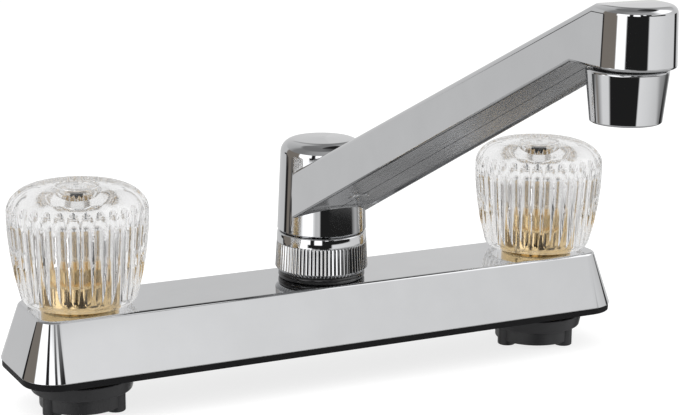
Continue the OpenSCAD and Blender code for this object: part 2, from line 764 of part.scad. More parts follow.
// Hollow of the arm, open to the chambers in the hub and the head
module arm_hollow() {
    from = post_r;
    to = spout_reach;
    from_w = side_w(from, high_z(from)) - arm_wall;
    to_w = side_w(to, head_top_z) - arm_wall;
    low = arm_wall / cos(low_angle) + belly_depth;
    high = arm_wall / cos(high_angle);
    intersection() {
        linear_extrude(head_top_z + cut)
            polygon([[-from_w, -from], [from_w, -from], [to_w, -to], [-to_w, -to]]);
        rotate([90, 0, 90]) translate([0, 0, -hub_r]) linear_extrude(2 * hub_r) polygon([
            [-from, low_z(from) + low], [-to, low_z(to) + low],
            [-to, head_top_z - arm_wall], [-crest_s, head_top_z - arm_wall],
            [-from, high_z(from) - high]
        ]);
    }
}

// What is cut from the arm's underside: a shallow belly between two lips, and its seam
module belly_cut() {
    from = hub_r + lip_w;
    to = kink_s - lip_w;
    from_w = side_w(from, low_z(from)) - lip_w;
    to_w = side_w(to, low_z(to)) - lip_w;
    from_l = from / cos(low_angle);
    to_l = to / cos(low_angle);
    translate([0, 0, low_z(0)]) rotate([-low_angle, 0, 0]) translate([0, 0, -cut]) {
        linear_extrude(cut + belly_depth)
            polygon([[-from_w, -from_l], [from_w, -from_l], [to_w, -to_l], [-to_w, -to_l]]);
        translate([-seam_w / 2, -to_l, 0]) cube([seam_w, to_l - from_l, cut + belly_depth + seam_w / 2]);
    }
}

module belly_plug() {
    translate([0, 0, low_z(0)]) rotate([-low_angle, 0, 0])
        translate([0, -plug_reach / cos(low_angle), belly_depth - plug_proud])
            cylinder(r = plug_r, h = plug_proud + arm_wall / 2);
}

module spout() {
    chamber_top_z = hub_top_z - hub_cap;
    color(chrome) {
        difference() {
            union() {
                spout_hub();
                arm_beam();
                head_block();
                head_nose();
            }
            bore(post_r + run_gap, stub_z - cut, chamber_top_z);
            ring(stub_r + cut, stub_r - retainer_groove, groove_z, groove_z + retainer_h + face_gap);
            arm_hollow();
            belly_cut();
            translate([0, -spout_reach, 0]) {
                bore(spigot_r + loose_gap, head_z - cut, outlet_top_z);
                bore(spigot_r - arm_wall, outlet_top_z - cut, head_top_z - arm_wall);
            }
        }
        belly_plug();
    }
}

// Split ring, which the nut's shoulder holds down
module spout_retainer() {
    color(brass) difference() {
        ring(post_base_r - loose_gap, stub_r - retainer_groove + loose_gap, groove_z + face_gap / 2,
            groove_z + face_gap / 2 + retainer_h);
        translate([-retainer_split / 2, 0, groove_z - cut])
            cube([retainer_split, 2 * post_base_r, retainer_h + 2 * cut]);
    }
}

module spout_nut() {
    lean = atan(ring_flare / ring_h);
    groove_w = 2 * PI * ring_r / rib_count * groove_share;
    groove_l = (ring_h - ring_band_h) / cos(lean) + cut;
    color(chrome) difference() {
        rotate_extrude() polygon([
            [post_base_r + loose_gap, ring_z], [ring_r - ring_bevel, ring_z],
            [ring_r, ring_z + ring_bevel], [hub_r, ring_top_z - bevel],
            [hub_r - bevel, ring_top_z], [stub_r + run_gap, ring_top_z],
            [stub_r + run_gap, shoulder_z], [post_base_r + loose_gap, shoulder_z]
        ]);
        // Grooves between the ribs, open at the foot
        for (i = [0:rib_count - 1]) rotate([0, 0, 360 * i / rib_count])
            translate([ring_r - rib_depth, -groove_w / 2, ring_z]) rotate([0, -lean, 0])
                translate([0, 0, -cut]) cube([rib_depth + cut, groove_w, groove_l]);
    }
}

module spout_washer() {
    color(black) ring(washer_r, post_base_r + loose_gap, top_z, ring_z);
}

module aerator_shell() {
    translate([0, -spout_reach, 0]) color(chrome) rotate_extrude() polygon(concat(
        [[aerator_bore_r - grid_bar, aerator_z]],
        arc(aerator_low_r - aerator_edge_r, aerator_z + aerator_edge_r, aerator_edge_r, -90, 0),
        arc(aerator_r - aerator_edge_r, head_z - face_gap - aerator_edge_r, aerator_edge_r, 0, 90),
        [[spigot_r, head_z - face_gap], [spigot_r, head_z + spigot_h], [aerator_bore_r, head_z + spigot_h],
        [aerator_bore_r, aerator_z + grid_step], [aerator_bore_r - grid_bar, aerator_z + grid_step]]
    ));
}

module aerator_washer() {
    translate([0, -spout_reach, 0]) color(rubber)
        ring(spigot_r, aerator_bore_r - grid_bar, head_z + spigot_h, outlet_top_z);
}

// Cup with a grid of rings and spokes at its foot, dropped into the housing
insert_r = aerator_bore_r - loose_gap;
insert_z = aerator_z + grid_step;
insert_top_z = head_z + spigot_h - screen_h;
module aerator_insert() {
    pitch = insert_r / (grid_rings + 1);
    translate([0, -spout_reach, 0]) color(nylon) {
        ring(insert_r, insert_r - 2 * grid_bar, insert_z, insert_top_z);
        for (i = [1:grid_rings])
            ring(i * pitch + grid_bar / 2, i * pitch - grid_bar / 2, insert_z, insert_z + grid_h);
        for (i = [0:grid_spokes - 1]) rotate([0, 0, 360 * i / grid_spokes])
            translate([pitch, -grid_bar / 2, insert_z])
                cube([insert_r - pitch - grid_bar, grid_bar, grid_h]);
    }
}

// Round screen on top of the insert
screen_rings = 3;
module aerator_screen() {
    pitch = (insert_r - 2 * screen_hole_r) / screen_rings;
    translate([0, -spout_reach, 0]) color(steel) difference() {
        ring(insert_r, screen_hole_r, insert_top_z, insert_top_z + screen_h);
        for (k = [1:screen_rings], i = [0:6 * k - 1]) rotate([0, 0, 60 * i / k])
            translate([k * pitch, 0, 0])
                bore(screen_hole_r, insert_top_z - cut, insert_top_z + screen_h + cut);
    }
}

// The two sides
module hot_valve_body() { color(brass) hot() valve_body(); }
module cold_valve_body() { color(brass) cold() valve_body(); }
module hot_cross_tube() { color(copper) hot() cross_tube(); }
module cold_cross_tube() { color(copper) cold() cross_tube(); }
module hot_seat() { color(rubber) hot() seat(); }
module cold_seat() { color(rubber) cold() seat(); }
module hot_seat_spring() { color(steel) hot() seat_spring(); }
module cold_seat_spring() { color(steel) cold() seat_spring(); }
module hot_stem() { color(brass) hot() stem(); }
module cold_stem() { color(brass) cold() stem(); }
module hot_stem_o_ring() { color(rubber) hot() stem_o_ring(); }
module cold_stem_o_ring() { color(rubber) cold() stem_o_ring(); }
module hot_bonnet() { color(brass) hot() bonnet(); }
module cold_bonnet() { color(brass) cold() bonnet(); }
module hot_wing_nut() { color(black) hot() wing_nut(hot_nut_turn); }
module cold_wing_nut() { color(black) cold() wing_nut(cold_nut_turn); }
module hot_knob() { color(clear) hot() knob(); }
module cold_knob() { color(clear) cold() knob(); }
module hot_knob_screw() { color(steel) hot() knob_screw(); }
module cold_knob_screw() { color(steel) cold() knob_screw(); }
module hot_index_button() { color(clear) hot() index_button(); }
module cold_index_button() { color(clear) cold() index_button(); }

deck_cover();
base_gasket();
hot_valve_body();
cold_valve_body();
hot_cross_tube();
cold_cross_tube();
spout_post();
post_o_rings();
hot_seat();
cold_seat();
hot_seat_spring();
cold_seat_spring();
hot_stem();
cold_stem();
hot_stem_o_ring();
cold_stem_o_ring();
hot_bonnet();
cold_bonnet();
hot_wing_nut();
cold_wing_nut();
hot_knob();
cold_knob();
hot_knob_screw();
cold_knob_screw();
hot_index_button();
cold_index_button();
spout();
spout_retainer();
spout_nut();
spout_washer();
aerator_shell();
aerator_washer();
aerator_insert();
aerator_screen();
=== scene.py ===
"""Looks of a two handle kitchen faucet: plated cover, spout, ring nut and aerator, clear fluted knobs,
brass valve works and black mounting nuts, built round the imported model."""
import json
import math

import bmesh
import bpy
import numpy as np
from bpy.props import FloatProperty, FloatVectorProperty, IntProperty, PointerProperty
from mathutils import Matrix, Vector


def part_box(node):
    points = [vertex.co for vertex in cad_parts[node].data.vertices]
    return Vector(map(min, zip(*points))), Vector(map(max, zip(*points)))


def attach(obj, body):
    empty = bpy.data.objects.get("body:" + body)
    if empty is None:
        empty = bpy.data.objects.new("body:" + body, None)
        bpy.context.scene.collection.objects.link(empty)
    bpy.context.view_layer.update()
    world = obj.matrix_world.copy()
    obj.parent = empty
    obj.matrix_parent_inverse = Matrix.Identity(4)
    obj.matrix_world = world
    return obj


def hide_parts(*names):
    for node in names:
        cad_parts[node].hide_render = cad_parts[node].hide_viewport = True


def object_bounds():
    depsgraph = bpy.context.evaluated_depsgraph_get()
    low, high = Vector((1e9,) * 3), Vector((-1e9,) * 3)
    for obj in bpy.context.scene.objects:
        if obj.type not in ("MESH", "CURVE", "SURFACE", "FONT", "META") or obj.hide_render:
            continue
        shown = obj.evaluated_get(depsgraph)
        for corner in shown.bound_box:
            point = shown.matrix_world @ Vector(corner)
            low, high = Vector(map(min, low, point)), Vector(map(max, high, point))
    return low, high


bl_info = {
    "name": "Two handle kitchen faucet",
    "version": (1, 0, 0),
    "blender": (4, 5, 0),
    "location": "3D View > Sidebar > Faucet",
    "description": "Builds the smooth pieces, finishes and studio of a two handle kitchen faucet",
    "category": "Add Mesh",
}

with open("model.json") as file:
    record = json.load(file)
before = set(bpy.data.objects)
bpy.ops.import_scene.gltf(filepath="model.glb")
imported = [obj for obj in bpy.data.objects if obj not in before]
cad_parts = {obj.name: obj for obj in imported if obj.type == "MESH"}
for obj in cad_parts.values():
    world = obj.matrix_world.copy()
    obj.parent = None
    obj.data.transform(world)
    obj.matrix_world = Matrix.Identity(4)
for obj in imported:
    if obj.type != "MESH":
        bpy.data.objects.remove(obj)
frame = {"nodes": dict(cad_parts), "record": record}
cad_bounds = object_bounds()
SIDES = ("hot", "cold")
MERGE = 1e-6          # points nearer to each other than this become one
HOLD = 0.0001         # from a rounding to the ring of points that keeps the next face straight
LONG_HOLD = 0.0003    # the same beside a wide face
HUB_GAP = 0.0002      # between the hub and the ring nut under it
OVERRUN = 0.001       # by which a cutter reaches past what it cuts
SMALL_ROUND = 48      # points round a small form
ROUND = 96            # points round a bore or a button
LARGE_ROUND = 128     # points round a nut or the washer
SLEEVE_ROUND = 160    # points round the aerator's housing
HUB_ROUND = 192       # points round the spout's hub
FLUTE_STEPS = 9       # steps across one flute of a knob
LAND_STEPS = 3        # steps across the land between two flutes
MADE = {}             # finishes made so far, by name
WHITE_LIGHT = (1.0, 1.0, 1.0, 1.0)


def length(name, description, default):
    """A size in metres that a user can change."""
    return FloatProperty(name=name, description=description, default=default, unit="LENGTH",
                         precision=5, min=0.0)


def colour(name, description, default):
    """A colour that a user can change."""
    return FloatVectorProperty(name=name, description=description, default=default, subtype="COLOR",
                               size=3, min=0.0, max=1.0)


class CoverSizes(bpy.types.PropertyGroup):
    """Sizes of the deck cover."""
    foot_corner: length("Foot corner", "Corner radius in plan at the foot", 0.014)
    top_corner: length("Top corner", "Corner radius in plan at the top", 0.007)
    end_flare: length("End flare", "Spread of each end from the top to the foot", 0.0069)
    side_flare: length("Side flare", "Spread of the front and back from the top to the foot", 0.0079)
    edge: length("Top edge", "Rounding of the top edge", 0.0009)
    lip: length("Foot edge", "Rounding of the foot's outer edge", 0.0003)
    wall: length("Wall", "Wall of the cover", 0.0018)
    valve_hole: length("Valve hole", "Radius of the hole round a valve's neck", 0.011)
    post_hole: length("Post hole", "Radius of the hole round the post", 0.0137)


class SpoutSizes(bpy.types.PropertyGroup):
    """Sizes of the spout's hub, arm and head."""
    stub: length("Stub radius", "Radius of the stub inside the ring nut", 0.0128)
    hub: length("Hub radius", "Radius of the hub at the ring nut", 0.0177)
    hub_taper: length("Hub taper", "Loss of the hub's radius up to its top", 0.0012)
    hub_edge: length("Hub edge", "Rounding of the hub's top edge", 0.0055)
    hub_crown: length("Hub crown", "Crown of the hub's top", 0.0005)
    hub_top: length("Hub top", "Height of the hub's top above the cover", 0.0559)
    bearing: length("Bearing", "Bore radius for the post", 0.01055)
    cap: length("Hub cap", "Thickness of the hub's closed top", 0.005)
    reach: length("Reach", "Distance from the swivel axis to the outlet's axis", 0.2032)
    nose_lead: length("Nose lead", "Centre of the round nose beyond the outlet's axis", 0.0033)
    arm_start: length("Arm start", "Half width of the arm's lower edge on the swivel axis", 0.0163)
    arm_end: length("Arm end", "Half width of the arm's lower edge at the reach", 0.0123)
    draft: FloatProperty(name="Draft", description="Lean of the arm's sides", default=math.radians(1.5),
                         subtype="ANGLE")
    low: length("Lower edge", "Height of the arm's lower edge above the cover, on the axis", 0.0229)
    depth: length("Arm depth", "Depth of the arm on the axis", 0.0196)
    rise: length("Rise", "Rise of the lower edge over the reach", 0.0976)
    taper: length("Depth taper", "Loss of the arm's depth over the reach", 0.006)
    drop: length("Head drop", "Drop of the head's underside below the arm's lower edge", 0.006)
    ease: length("Head ease", "Drop of the head's top below the arm's upper edge", 0.0011)
    upper_edge: length("Upper edges", "Rounding of the upper edges", 0.0024)
    lower_edge: length("Lower edges", "Rounding of the lower edges", 0.0009)
    lip: length("Lip", "Width of the lips along the underside", 0.0013)
    belly: length("Belly", "Depth of the underside between the lips", 0.0005)
    seam: length("Seam", "Width of the seam along the underside", 0.0005)
    plug: length("Plug", "Radius of the plug in the underside", 0.004)
    plug_reach: length("Plug reach", "Distance of the plug from the swivel axis", 0.032)
    plug_proud: length("Plug height", "Height of the plug above the belly", 0.0003)
    outlet: length("Outlet bore", "Bore radius for the aerator", 0.0101)
    outlet_depth: length("Outlet depth", "Depth of that bore", 0.0076)


class RingNutSizes(bpy.types.PropertyGroup):
    """Sizes of the ribbed ring nut under the hub, and of the washer under it."""
    washer_edge: length("Washer edge", "Rounding of the washer's edges", 0.0011)
    washer_step: length("Washer step", "Depth of the groove round the washer", 0.0003)
    top: length("Top radius", "Radius at the top", 0.0177)
    foot: length("Foot radius", "Radius at the foot", 0.0186)
    bore: length("Bore", "Radius of the thread's bore", 0.0137)
    collar: length("Collar bore", "Bore radius of the inner shoulder", 0.01285)
    shoulder: length("Shoulder", "Thickness of the inner shoulder", 0.0026)
    bevel: length("Foot bevel", "Bevel at the foot", 0.0015)
    edge: length("Top edge", "Rounding of the top edge", 0.0006)
    band: length("Plain band", "Height of the plain band above the ribs", 0.004)
    rib_depth: length("Rib depth", "Depth of the grooves between the ribs", 0.0004)
    ribs: IntProperty(name="Ribs", description="Number of ribs", default=72, min=12)


class AeratorSizes(bpy.types.PropertyGroup):
    """Sizes of the aerator's housing."""
    top: length("Top radius", "Radius at the top", 0.0124)
    foot: length("Foot radius", "Radius at the foot", 0.0108)
    height: length("Height", "Height of the part that shows", 0.0161)
    edge: length("Edge", "Rounding of the edges", 0.0007)
    spigot: length("Spigot", "Radius of the threaded spigot", 0.01)
    bore: length("Bore", "Bore radius of the housing", 0.0089)
    mouth: length("Mouth", "Radius of the opening at the foot", 0.0082)
    step: length("Step", "Height of the step that carries the outlet grid", 0.0008)


class KnobSizes(bpy.types.PropertyGroup):
    """Sizes of the clear knobs and their index buttons."""
    foot: length("Foot radius", "Radius of the knob's foot", 0.0214)
    belly: length("Belly radius", "Largest radius", 0.0266)
    crown: length("Crown", "Height of the rounded shoulder above the largest radius", 0.0096)
    top: length("Top radius", "Radius of the flat top", 0.0138)
    skirt: length("Skirt wall", "Wall at the foot", 0.0026)
    ceiling_wall: length("Ceiling wall", "Wall at the ceiling of the hollow", 0.0072)
    solid_top: length("Solid top", "Thickness of the solid top", 0.009)
    ceiling_round: length("Ceiling rounding", "Rounding between the hollow's wall and ceiling", 0.008)
    bevel: length("Foot bevel", "Bevel at the foot's outer edge", 0.0006)
    boss: length("Boss", "Radius of the splined boss", 0.0086)
    boss_start: length("Boss start", "Height of the boss's lower end above the foot", 0.0175)
    socket: length("Socket", "Radius of the splined socket", 0.00485)
    socket_top: length("Socket top", "Height of the socket's end above the foot", 0.0328)
    spline_depth: length("Splines", "Depth of the splines", 0.0005)
    splines: IntProperty(name="Spline count", description="Number of splines", default=16, min=8)
    screw_hole: length("Screw hole", "Radius of the screw's hole", 0.002)
    screw_seat: length("Screw seat", "Height of the seat of the screw's head", 0.0354)
    head_pocket: length("Head pocket", "Radius of the pocket for the screw's head", 0.0039)
    recess: length("Button recess", "Radius of the recess for the button", 0.008)
    recess_depth: length("Recess depth", "Depth of that recess", 0.0028)
    flutes: IntProperty(name="Flutes", description="Number of flutes", default=32, min=8)
    flute: length("Flute radius", "Radius of a flute", 0.0022)
    flute_depth: length("Flute depth", "Depth of a flute where the knob is widest", 0.0021)
    flute_foot: length("Flute foot step", "Step of the flutes' floor out from the foot", 0.0008)
    flute_start: length("Flute start", "Height above the foot where the flutes start", 0.0035)
    power: FloatProperty(name="Side power", description="Curve of the side, 1 for a straight cone",
                         default=2.0, min=1.0)
    button: length("Button", "Radius of the index button", 0.0079)
    button_height: length("Button height", "Thickness of the index button", 0.0026)
    button_edge: length("Button edge", "Rounding of the button's edge", 0.00035)
    dimple: length("Dimple", "Radius of the dimple in the button", 0.0018)
    dimple_depth: length("Dimple depth", "Depth of that dimple", 0.00035)


class WingNutSizes(bpy.types.PropertyGroup):
    """Sizes of the black mounting nuts."""
    flange: length("Flange radius", "Radius of the flange", 0.0203)
    flange_taper: length("Flange taper", "Taper of the flange towards its lower edge", 0.0009)
    flange_height: length("Flange height", "Height of the flange", 0.0055)
    skirt: length("Skirt", "Radius of the skirt below the flange", 0.0163)
    skirt_height: length("Skirt height", "Height of that skirt", 0.0062)
    hub: length("Hub", "Radius of the hub round the shank", 0.0124)
    hub_height: length("Hub height", "Height of the hub below the flange", 0.0072)
    bore: length("Bore", "Radius of the bore round the shank", 0.0104)
    edge: length("Edge", "Rounding of the moulded edges", 0.0006)
    lobe: length("Lobe radius", "Radius of a lobe", 0.0038)
    lobe_reach: length("Lobe reach", "Distance of a lobe's middle from the nut's axis", 0.0138)
    lobe_height: length("Lobe height", "Height of the lobes below the flange", 0.008)
    lobes: IntProperty(name="Lobes", description="Number of lobes", default=3, min=2)
    hot_turn: FloatProperty(name="Hot turn", description="Turn of the hot side's nut",
                            default=math.radians(77), subtype="ANGLE")
    cold_turn: FloatProperty(name="Cold turn", description="Turn of the cold side's nut",
                             default=math.radians(63), subtype="ANGLE")


class Finishes(bpy.types.PropertyGroup):
    """Colours of the finishes."""
    chrome: colour("Chrome", "Plated brass", (0.6, 0.605, 0.615))
    brass: colour("Brass", "Machined brass", (0.8, 0.6, 0.32))
    copper: colour("Copper", "Drawn copper tube", (0.78, 0.42, 0.27))
    acrylic: colour("Acrylic", "Clear acrylic", (0.885, 0.885, 0.885))
    plastic: colour("Black plastic", "Moulded black plastic", (0.02, 0.02, 0.022))
    rubber: colour("Rubber", "Black rubber", (0.016, 0.016, 0.017))
    steel: colour("Steel", "Stainless steel", (0.72, 0.73, 0.74))
    nylon: colour("Nylon", "White nylon", (0.8, 0.8, 0.76))


class StudioSettings(bpy.types.PropertyGroup):
    """The camera and the light round the object."""
    camera_place: FloatVectorProperty(name="Camera", description="Place of the camera", subtype="XYZ",
                                      unit="LENGTH", size=3, default=(-0.32209, -0.65468, 0.22518))
    heading: FloatProperty(name="Heading", description="Turn of the camera from +Y towards +X",
                           default=0.4669, subtype="ANGLE")
    tilt: FloatProperty(name="Tilt", description="Tilt of the camera, up positive", default=-0.23277,
                        subtype="ANGLE")
    roll: FloatProperty(name="Roll", description="Roll of the camera", default=0.00783, subtype="ANGLE")
    lens: FloatProperty(name="Lens", description="Focal length in millimetres on a 36 mm frame",
                        default=99.83, min=10.0)
    floor: colour("Floor", "Colour of the floor", (0.9, 0.9, 0.9))
    floor_size: length("Floor size", "Length of the floor's sides", 12.0)
    shade: FloatProperty(name="Shade", description="Share of the floor's white that shadows take away",
                         default=0.35, min=0.0, max=1.0)
    fill: FloatProperty(name="Fill", description="Strength of the even light", default=0.7, min=0.0)
    bounces: IntProperty(name="Bounces", description="How often light may turn inside the clear knobs",
                         default=48, min=4)


SETTINGS = {"faucet_cover": CoverSizes, "faucet_spout": SpoutSizes, "faucet_ring": RingNutSizes,
            "faucet_aerator": AeratorSizes, "faucet_knob": KnobSizes, "faucet_nut": WingNutSizes,
            "faucet_finish": Finishes, "faucet_studio": StudioSettings}


def arc(x, y, radius, start, end, steps):
    """Points of an arc round x, y, from one angle to another in degrees."""
    angles = np.radians(np.linspace(start, end, steps + 1))
    return [(x + radius * math.cos(a), y + radius * math.sin(a)) for a in angles]


def turned(profile, steps, centre=(0.0, 0.0)):
    """Rings of points round an upright axis, one for each (radius, height) of a profile."""
    turn = np.linspace(0.0, 2 * math.pi, steps, endpoint=False)
    return [np.stack([centre[0] + r * np.cos(turn), centre[1] + r * np.sin(turn), np.full(steps, z)], 1)
            for r, z in profile]


def skin(name, rings, closed=False):
    """A mesh over a row of rings with as many points each, capped at its ends or closed on itself."""
    count = len(rings[0])
    pairs = len(rings) if closed else len(rings) - 1
    faces = []
    for i in range(pairs):
        low = i * count
        high = (i + 1) % len(rings) * count
        faces += [(low + j, low + (j + 1) % count, high + (j + 1) % count, high + j)
                  for j in range(count)]
    if not closed:
        last = (len(rings) - 1) * count
        faces.append(tuple(range(count - 1, -1, -1)))
        faces.append(tuple(range(last, last + count)))
    mesh = bpy.data.meshes.new(name)
    mesh.from_pydata(np.concatenate(rings).tolist(), [], faces)
    mesh.update()
    return mesh


def put(context, name, data):
    """A new object in the scene with that mesh, lens or lamp."""
    item = bpy.data.objects.new(name, data)
    context.scene.collection.objects.link(item)
    return item


def form(context, name, rings):
    """A new object with a mesh over a row of rings, capped at its ends."""
    return put(context, name, skin(name, rings))


def bake(context, item):
    """Applies an object's modifiers to its mesh."""
    depsgraph = context.evaluated_depsgraph_get()
    shape = item.evaluated_get(depsgraph)
    mesh = bpy.data.meshes.new_from_object(shape, preserve_all_data_layers=True, depsgraph=depsgraph)
    item.modifiers.clear()
    item.data = mesh


def combine(context, item, others, operation):
    """Joins other closed meshes to an object or cuts them from it, and removes them."""
    for other in others:
        step = item.modifiers.new("shape", "BOOLEAN")
        step.operation = operation
        step.solver = "EXACT"
        step.object = other
    bake(context, item)
    for other in others:
        bpy.data.objects.remove(other)


def polish(context, item, angle=28.0, flats=True):
    """Outward faces, smooth shading with crisp edges past an angle, and even normals on flat faces."""
    work = bmesh.new()
    work.from_mesh(item.data)
    bmesh.ops.remove_doubles(work, verts=work.verts, dist=MERGE)
    bmesh.ops.recalc_face_normals(work, faces=work.faces)
    work.to_mesh(item.data)
    work.free()
    item.data.shade_smooth()
    item.data.set_sharp_from_angle(angle=math.radians(angle))
    if not flats:
        return
    weigh = item.modifiers.new("normals", "WEIGHTED_NORMAL")
    weigh.keep_sharp = True
    weigh.weight = 100
    bake(context, item)


def finish_piece(item, body, nodes, material):
    """Gives a piece its finish, the body that it rides on and the nodes that it stands for."""
    item.data.materials.clear()
    item.data.materials.append(material)
    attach(item, body)
    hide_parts(*nodes)


def second_finish(item, material, chosen):
    """Gives a piece a second finish on the faces that a test of centre and normal picks."""
    item.data.materials.append(material)
    for face in item.data.polygons:
        if chosen(face.center, face.normal):
            face.material_index = 1


def heights():
    """Heights of the main faces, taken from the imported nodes."""
    return {"top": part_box("deck_cover")[1].z, "ring_top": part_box("spout_nut")[1].z,
            "stub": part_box("spout")[0].z}


def valve_x():
    """Distance of a valve's axis from the middle."""
    low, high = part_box("cold_bonnet")
    return (low.x + high.x) / 2


class Nodes:
    """Short ways to add and link shader nodes in one tree."""

    def __init__(self, tree):
        self.tree = tree

    def add(self, kind, inputs=None, **settings):
        """A node of that kind, with values or other nodes' outputs for its inputs."""
        node = self.tree.nodes.new(kind)
        for key, value in settings.items():
            setattr(node, key, value)
        for key, value in (inputs or {}).items():
            if isinstance(value, bpy.types.NodeSocket):
                self.tree.links.new(value, node.inputs[key])
            else:
                node.inputs[key].default_value = value
        return node

    def sum(self, operation, *values):
        """The result of a sum, such as ADD or SINE, with those values."""
        return self.add("ShaderNodeMath", dict(enumerate(values)), operation=operation).outputs[0]

    def mix(self, share, a, b):
        """Colour a where the share is 0 and colour b where it is 1."""
        node = self.add("ShaderNodeMix", {0: share, 6: a, 7: b}, data_type="RGBA")
        return node.outputs[2]

    def ramp(self, value, stops):
        """A shade that runs from stop to stop as the value grows."""
        node = self.add("ShaderNodeValToRGB", {0: value})
        points = node.color_ramp.elements
        while len(points) > 1:
            points.remove(points[-1])
        for i, (place, shade) in enumerate(stops):
            point = points[0] if i == 0 else points.new(place)
            point.position = place
            point.color = (*shade, 1.0) if isinstance(shade, tuple) else (shade, shade, shade, 1.0)
        return node.outputs[0]

    def span(self, value, low, high):
        """Spreads a value of 0 to 1 from low to high."""
        node = self.add("ShaderNodeMapRange", {0: value, 3: low, 4: high})
        return node.outputs[0]


def finish_base(name):
    """A material with its shader, its nodes and its object coordinates."""
    material = bpy.data.materials.new(name)
    material.use_nodes = True
    nodes = Nodes(material.node_tree)
    shader = material.node_tree.nodes["Principled BSDF"]
    place = nodes.add("ShaderNodeTexCoord").outputs["Object"]
    return material, nodes, shader, place


def noise(nodes, place, scale, detail):
    """Grain of that many cells to the metre."""
    inputs = {"Vector": place, "Scale": scale, "Detail": detail}
    return nodes.add("ShaderNodeTexNoise", inputs).outputs[0]


def shades(nodes, value, tint, spread):
    """A tint that a value makes a little darker or lighter."""
    dark = tuple(c * (1 - spread) for c in tint)
    light = tuple(min(1.0, c * (1 + spread)) for c in tint)
    return nodes.ramp(value, [(0.3, dark), (0.7, light)])


def link(nodes, value, node, socket):
    """Feeds a value to one of a node's sockets."""
    nodes.tree.links.new(value, node.inputs[socket])


def relief(nodes, shader, height, depth, strength):
    """Bump from a height of 0 to 1."""
    bump = nodes.add("ShaderNodeBump", {"Strength": strength, "Distance": depth, "Height": height})
    link(nodes, bump.outputs[0], shader, "Normal")


def plated(finish):
    """Bright chrome plate with the faint waviness of polished brass under it."""
    material, nodes, shader, place = finish_base("chrome_plate")
    haze = noise(nodes, place, scale=70.0, detail=3.0)
    shader.inputs["Metallic"].default_value = 1.0
    link(nodes, shades(nodes, haze, tuple(finish.chrome), spread=0.02), shader, "Base Color")
    link(nodes, nodes.span(haze, low=0.015, high=0.05), shader, "Roughness")
    relief(nodes, shader, noise(nodes, place, scale=45.0, detail=1.0), depth=0.00001, strength=0.35)
    return material


def dull_shaded_plate(finish):
    """Chrome plate over metal that was left less polished, with faint streaks along the arm, and a
    darker tint that is painted shade for the arm's underside.
    """
    material, nodes, shader, place = finish_base("dull_shaded_plate")
    across, along = 900.0, 12.0
    stretch = nodes.add("ShaderNodeMapping", {"Vector": place, "Scale": (across, along, along)})
    streaks = noise(nodes, stretch.outputs[0], scale=1.0, detail=3.0)
    shader.inputs["Metallic"].default_value = 1.0
    # painted shade: the plate's tint is made darker here for the faces under the arm
    darker = 0.62
    tint = tuple(darker * c for c in finish.chrome)
    link(nodes, shades(nodes, streaks, tint, spread=0.3), shader, "Base Color")
    link(nodes, nodes.span(streaks, low=0.2, high=0.34), shader, "Roughness")
    relief(nodes, shader, streaks, depth=0.00001, strength=0.3)
    return material


def turned_metal(name, tint, rough, lines, depth):
    """Machined metal with the fine rings of the tool round upright parts."""
    material, nodes, shader, place = finish_base(name)
    grain = noise(nodes, place, scale=240.0, detail=4.0)
    height = nodes.add("ShaderNodeSeparateXYZ", {0: place}).outputs[2]
    rings = nodes.sum("SINE", nodes.sum("MULTIPLY", height, lines))
    ring_share = 0.25
    mixed = nodes.sum("ADD", nodes.sum("MULTIPLY", rings, ring_share), grain)
    shader.inputs["Metallic"].default_value = 1.0
    link(nodes, shades(nodes, grain, tint, spread=0.08), shader, "Base Color")
    link(nodes, nodes.span(grain, low=rough * 0.75, high=rough * 1.25), shader, "Roughness")
    relief(nodes, shader, mixed, depth, strength=0.6)
    return material


def moulded(name, tint, rough, grains, depth, spread=0.12, gloss=0.5):
    """Moulded plastic or rubber with a fine grain, of that many grains to the metre."""
    material, nodes, shader, place = finish_base(name)
    shader.inputs["Specular IOR Level"].default_value = gloss
    grain = noise(nodes, place, grains, detail=5.0)
    clouds = noise(nodes, place, scale=60.0, detail=3.0)
    link(nodes, shades(nodes, clouds, tint, spread), shader, "Base Color")
    link(nodes, nodes.span(grain, low=rough * 0.85, high=rough * 1.15), shader, "Roughness")
    relief(nodes, shader, grain, depth, strength=0.5)
    return material


def clear(finish, name, low, high):
    """Clear moulded acrylic, polished where its roughness is low."""
    material, nodes, shader, place = finish_base(name)
    haze = noise(nodes, place, scale=90.0, detail=2.0)
    shader.inputs["Transmission Weight"].default_value = 1.0
    shader.inputs["IOR"].default_value = 1.49
    link(nodes, shades(nodes, haze, tuple(finish.acrylic), spread=0.01), shader, "Base Color")
    link(nodes, nodes.span(haze, low, high), shader, "Roughness")
    relief(nodes, shader, haze, depth=0.00001, strength=0.2)
    return material


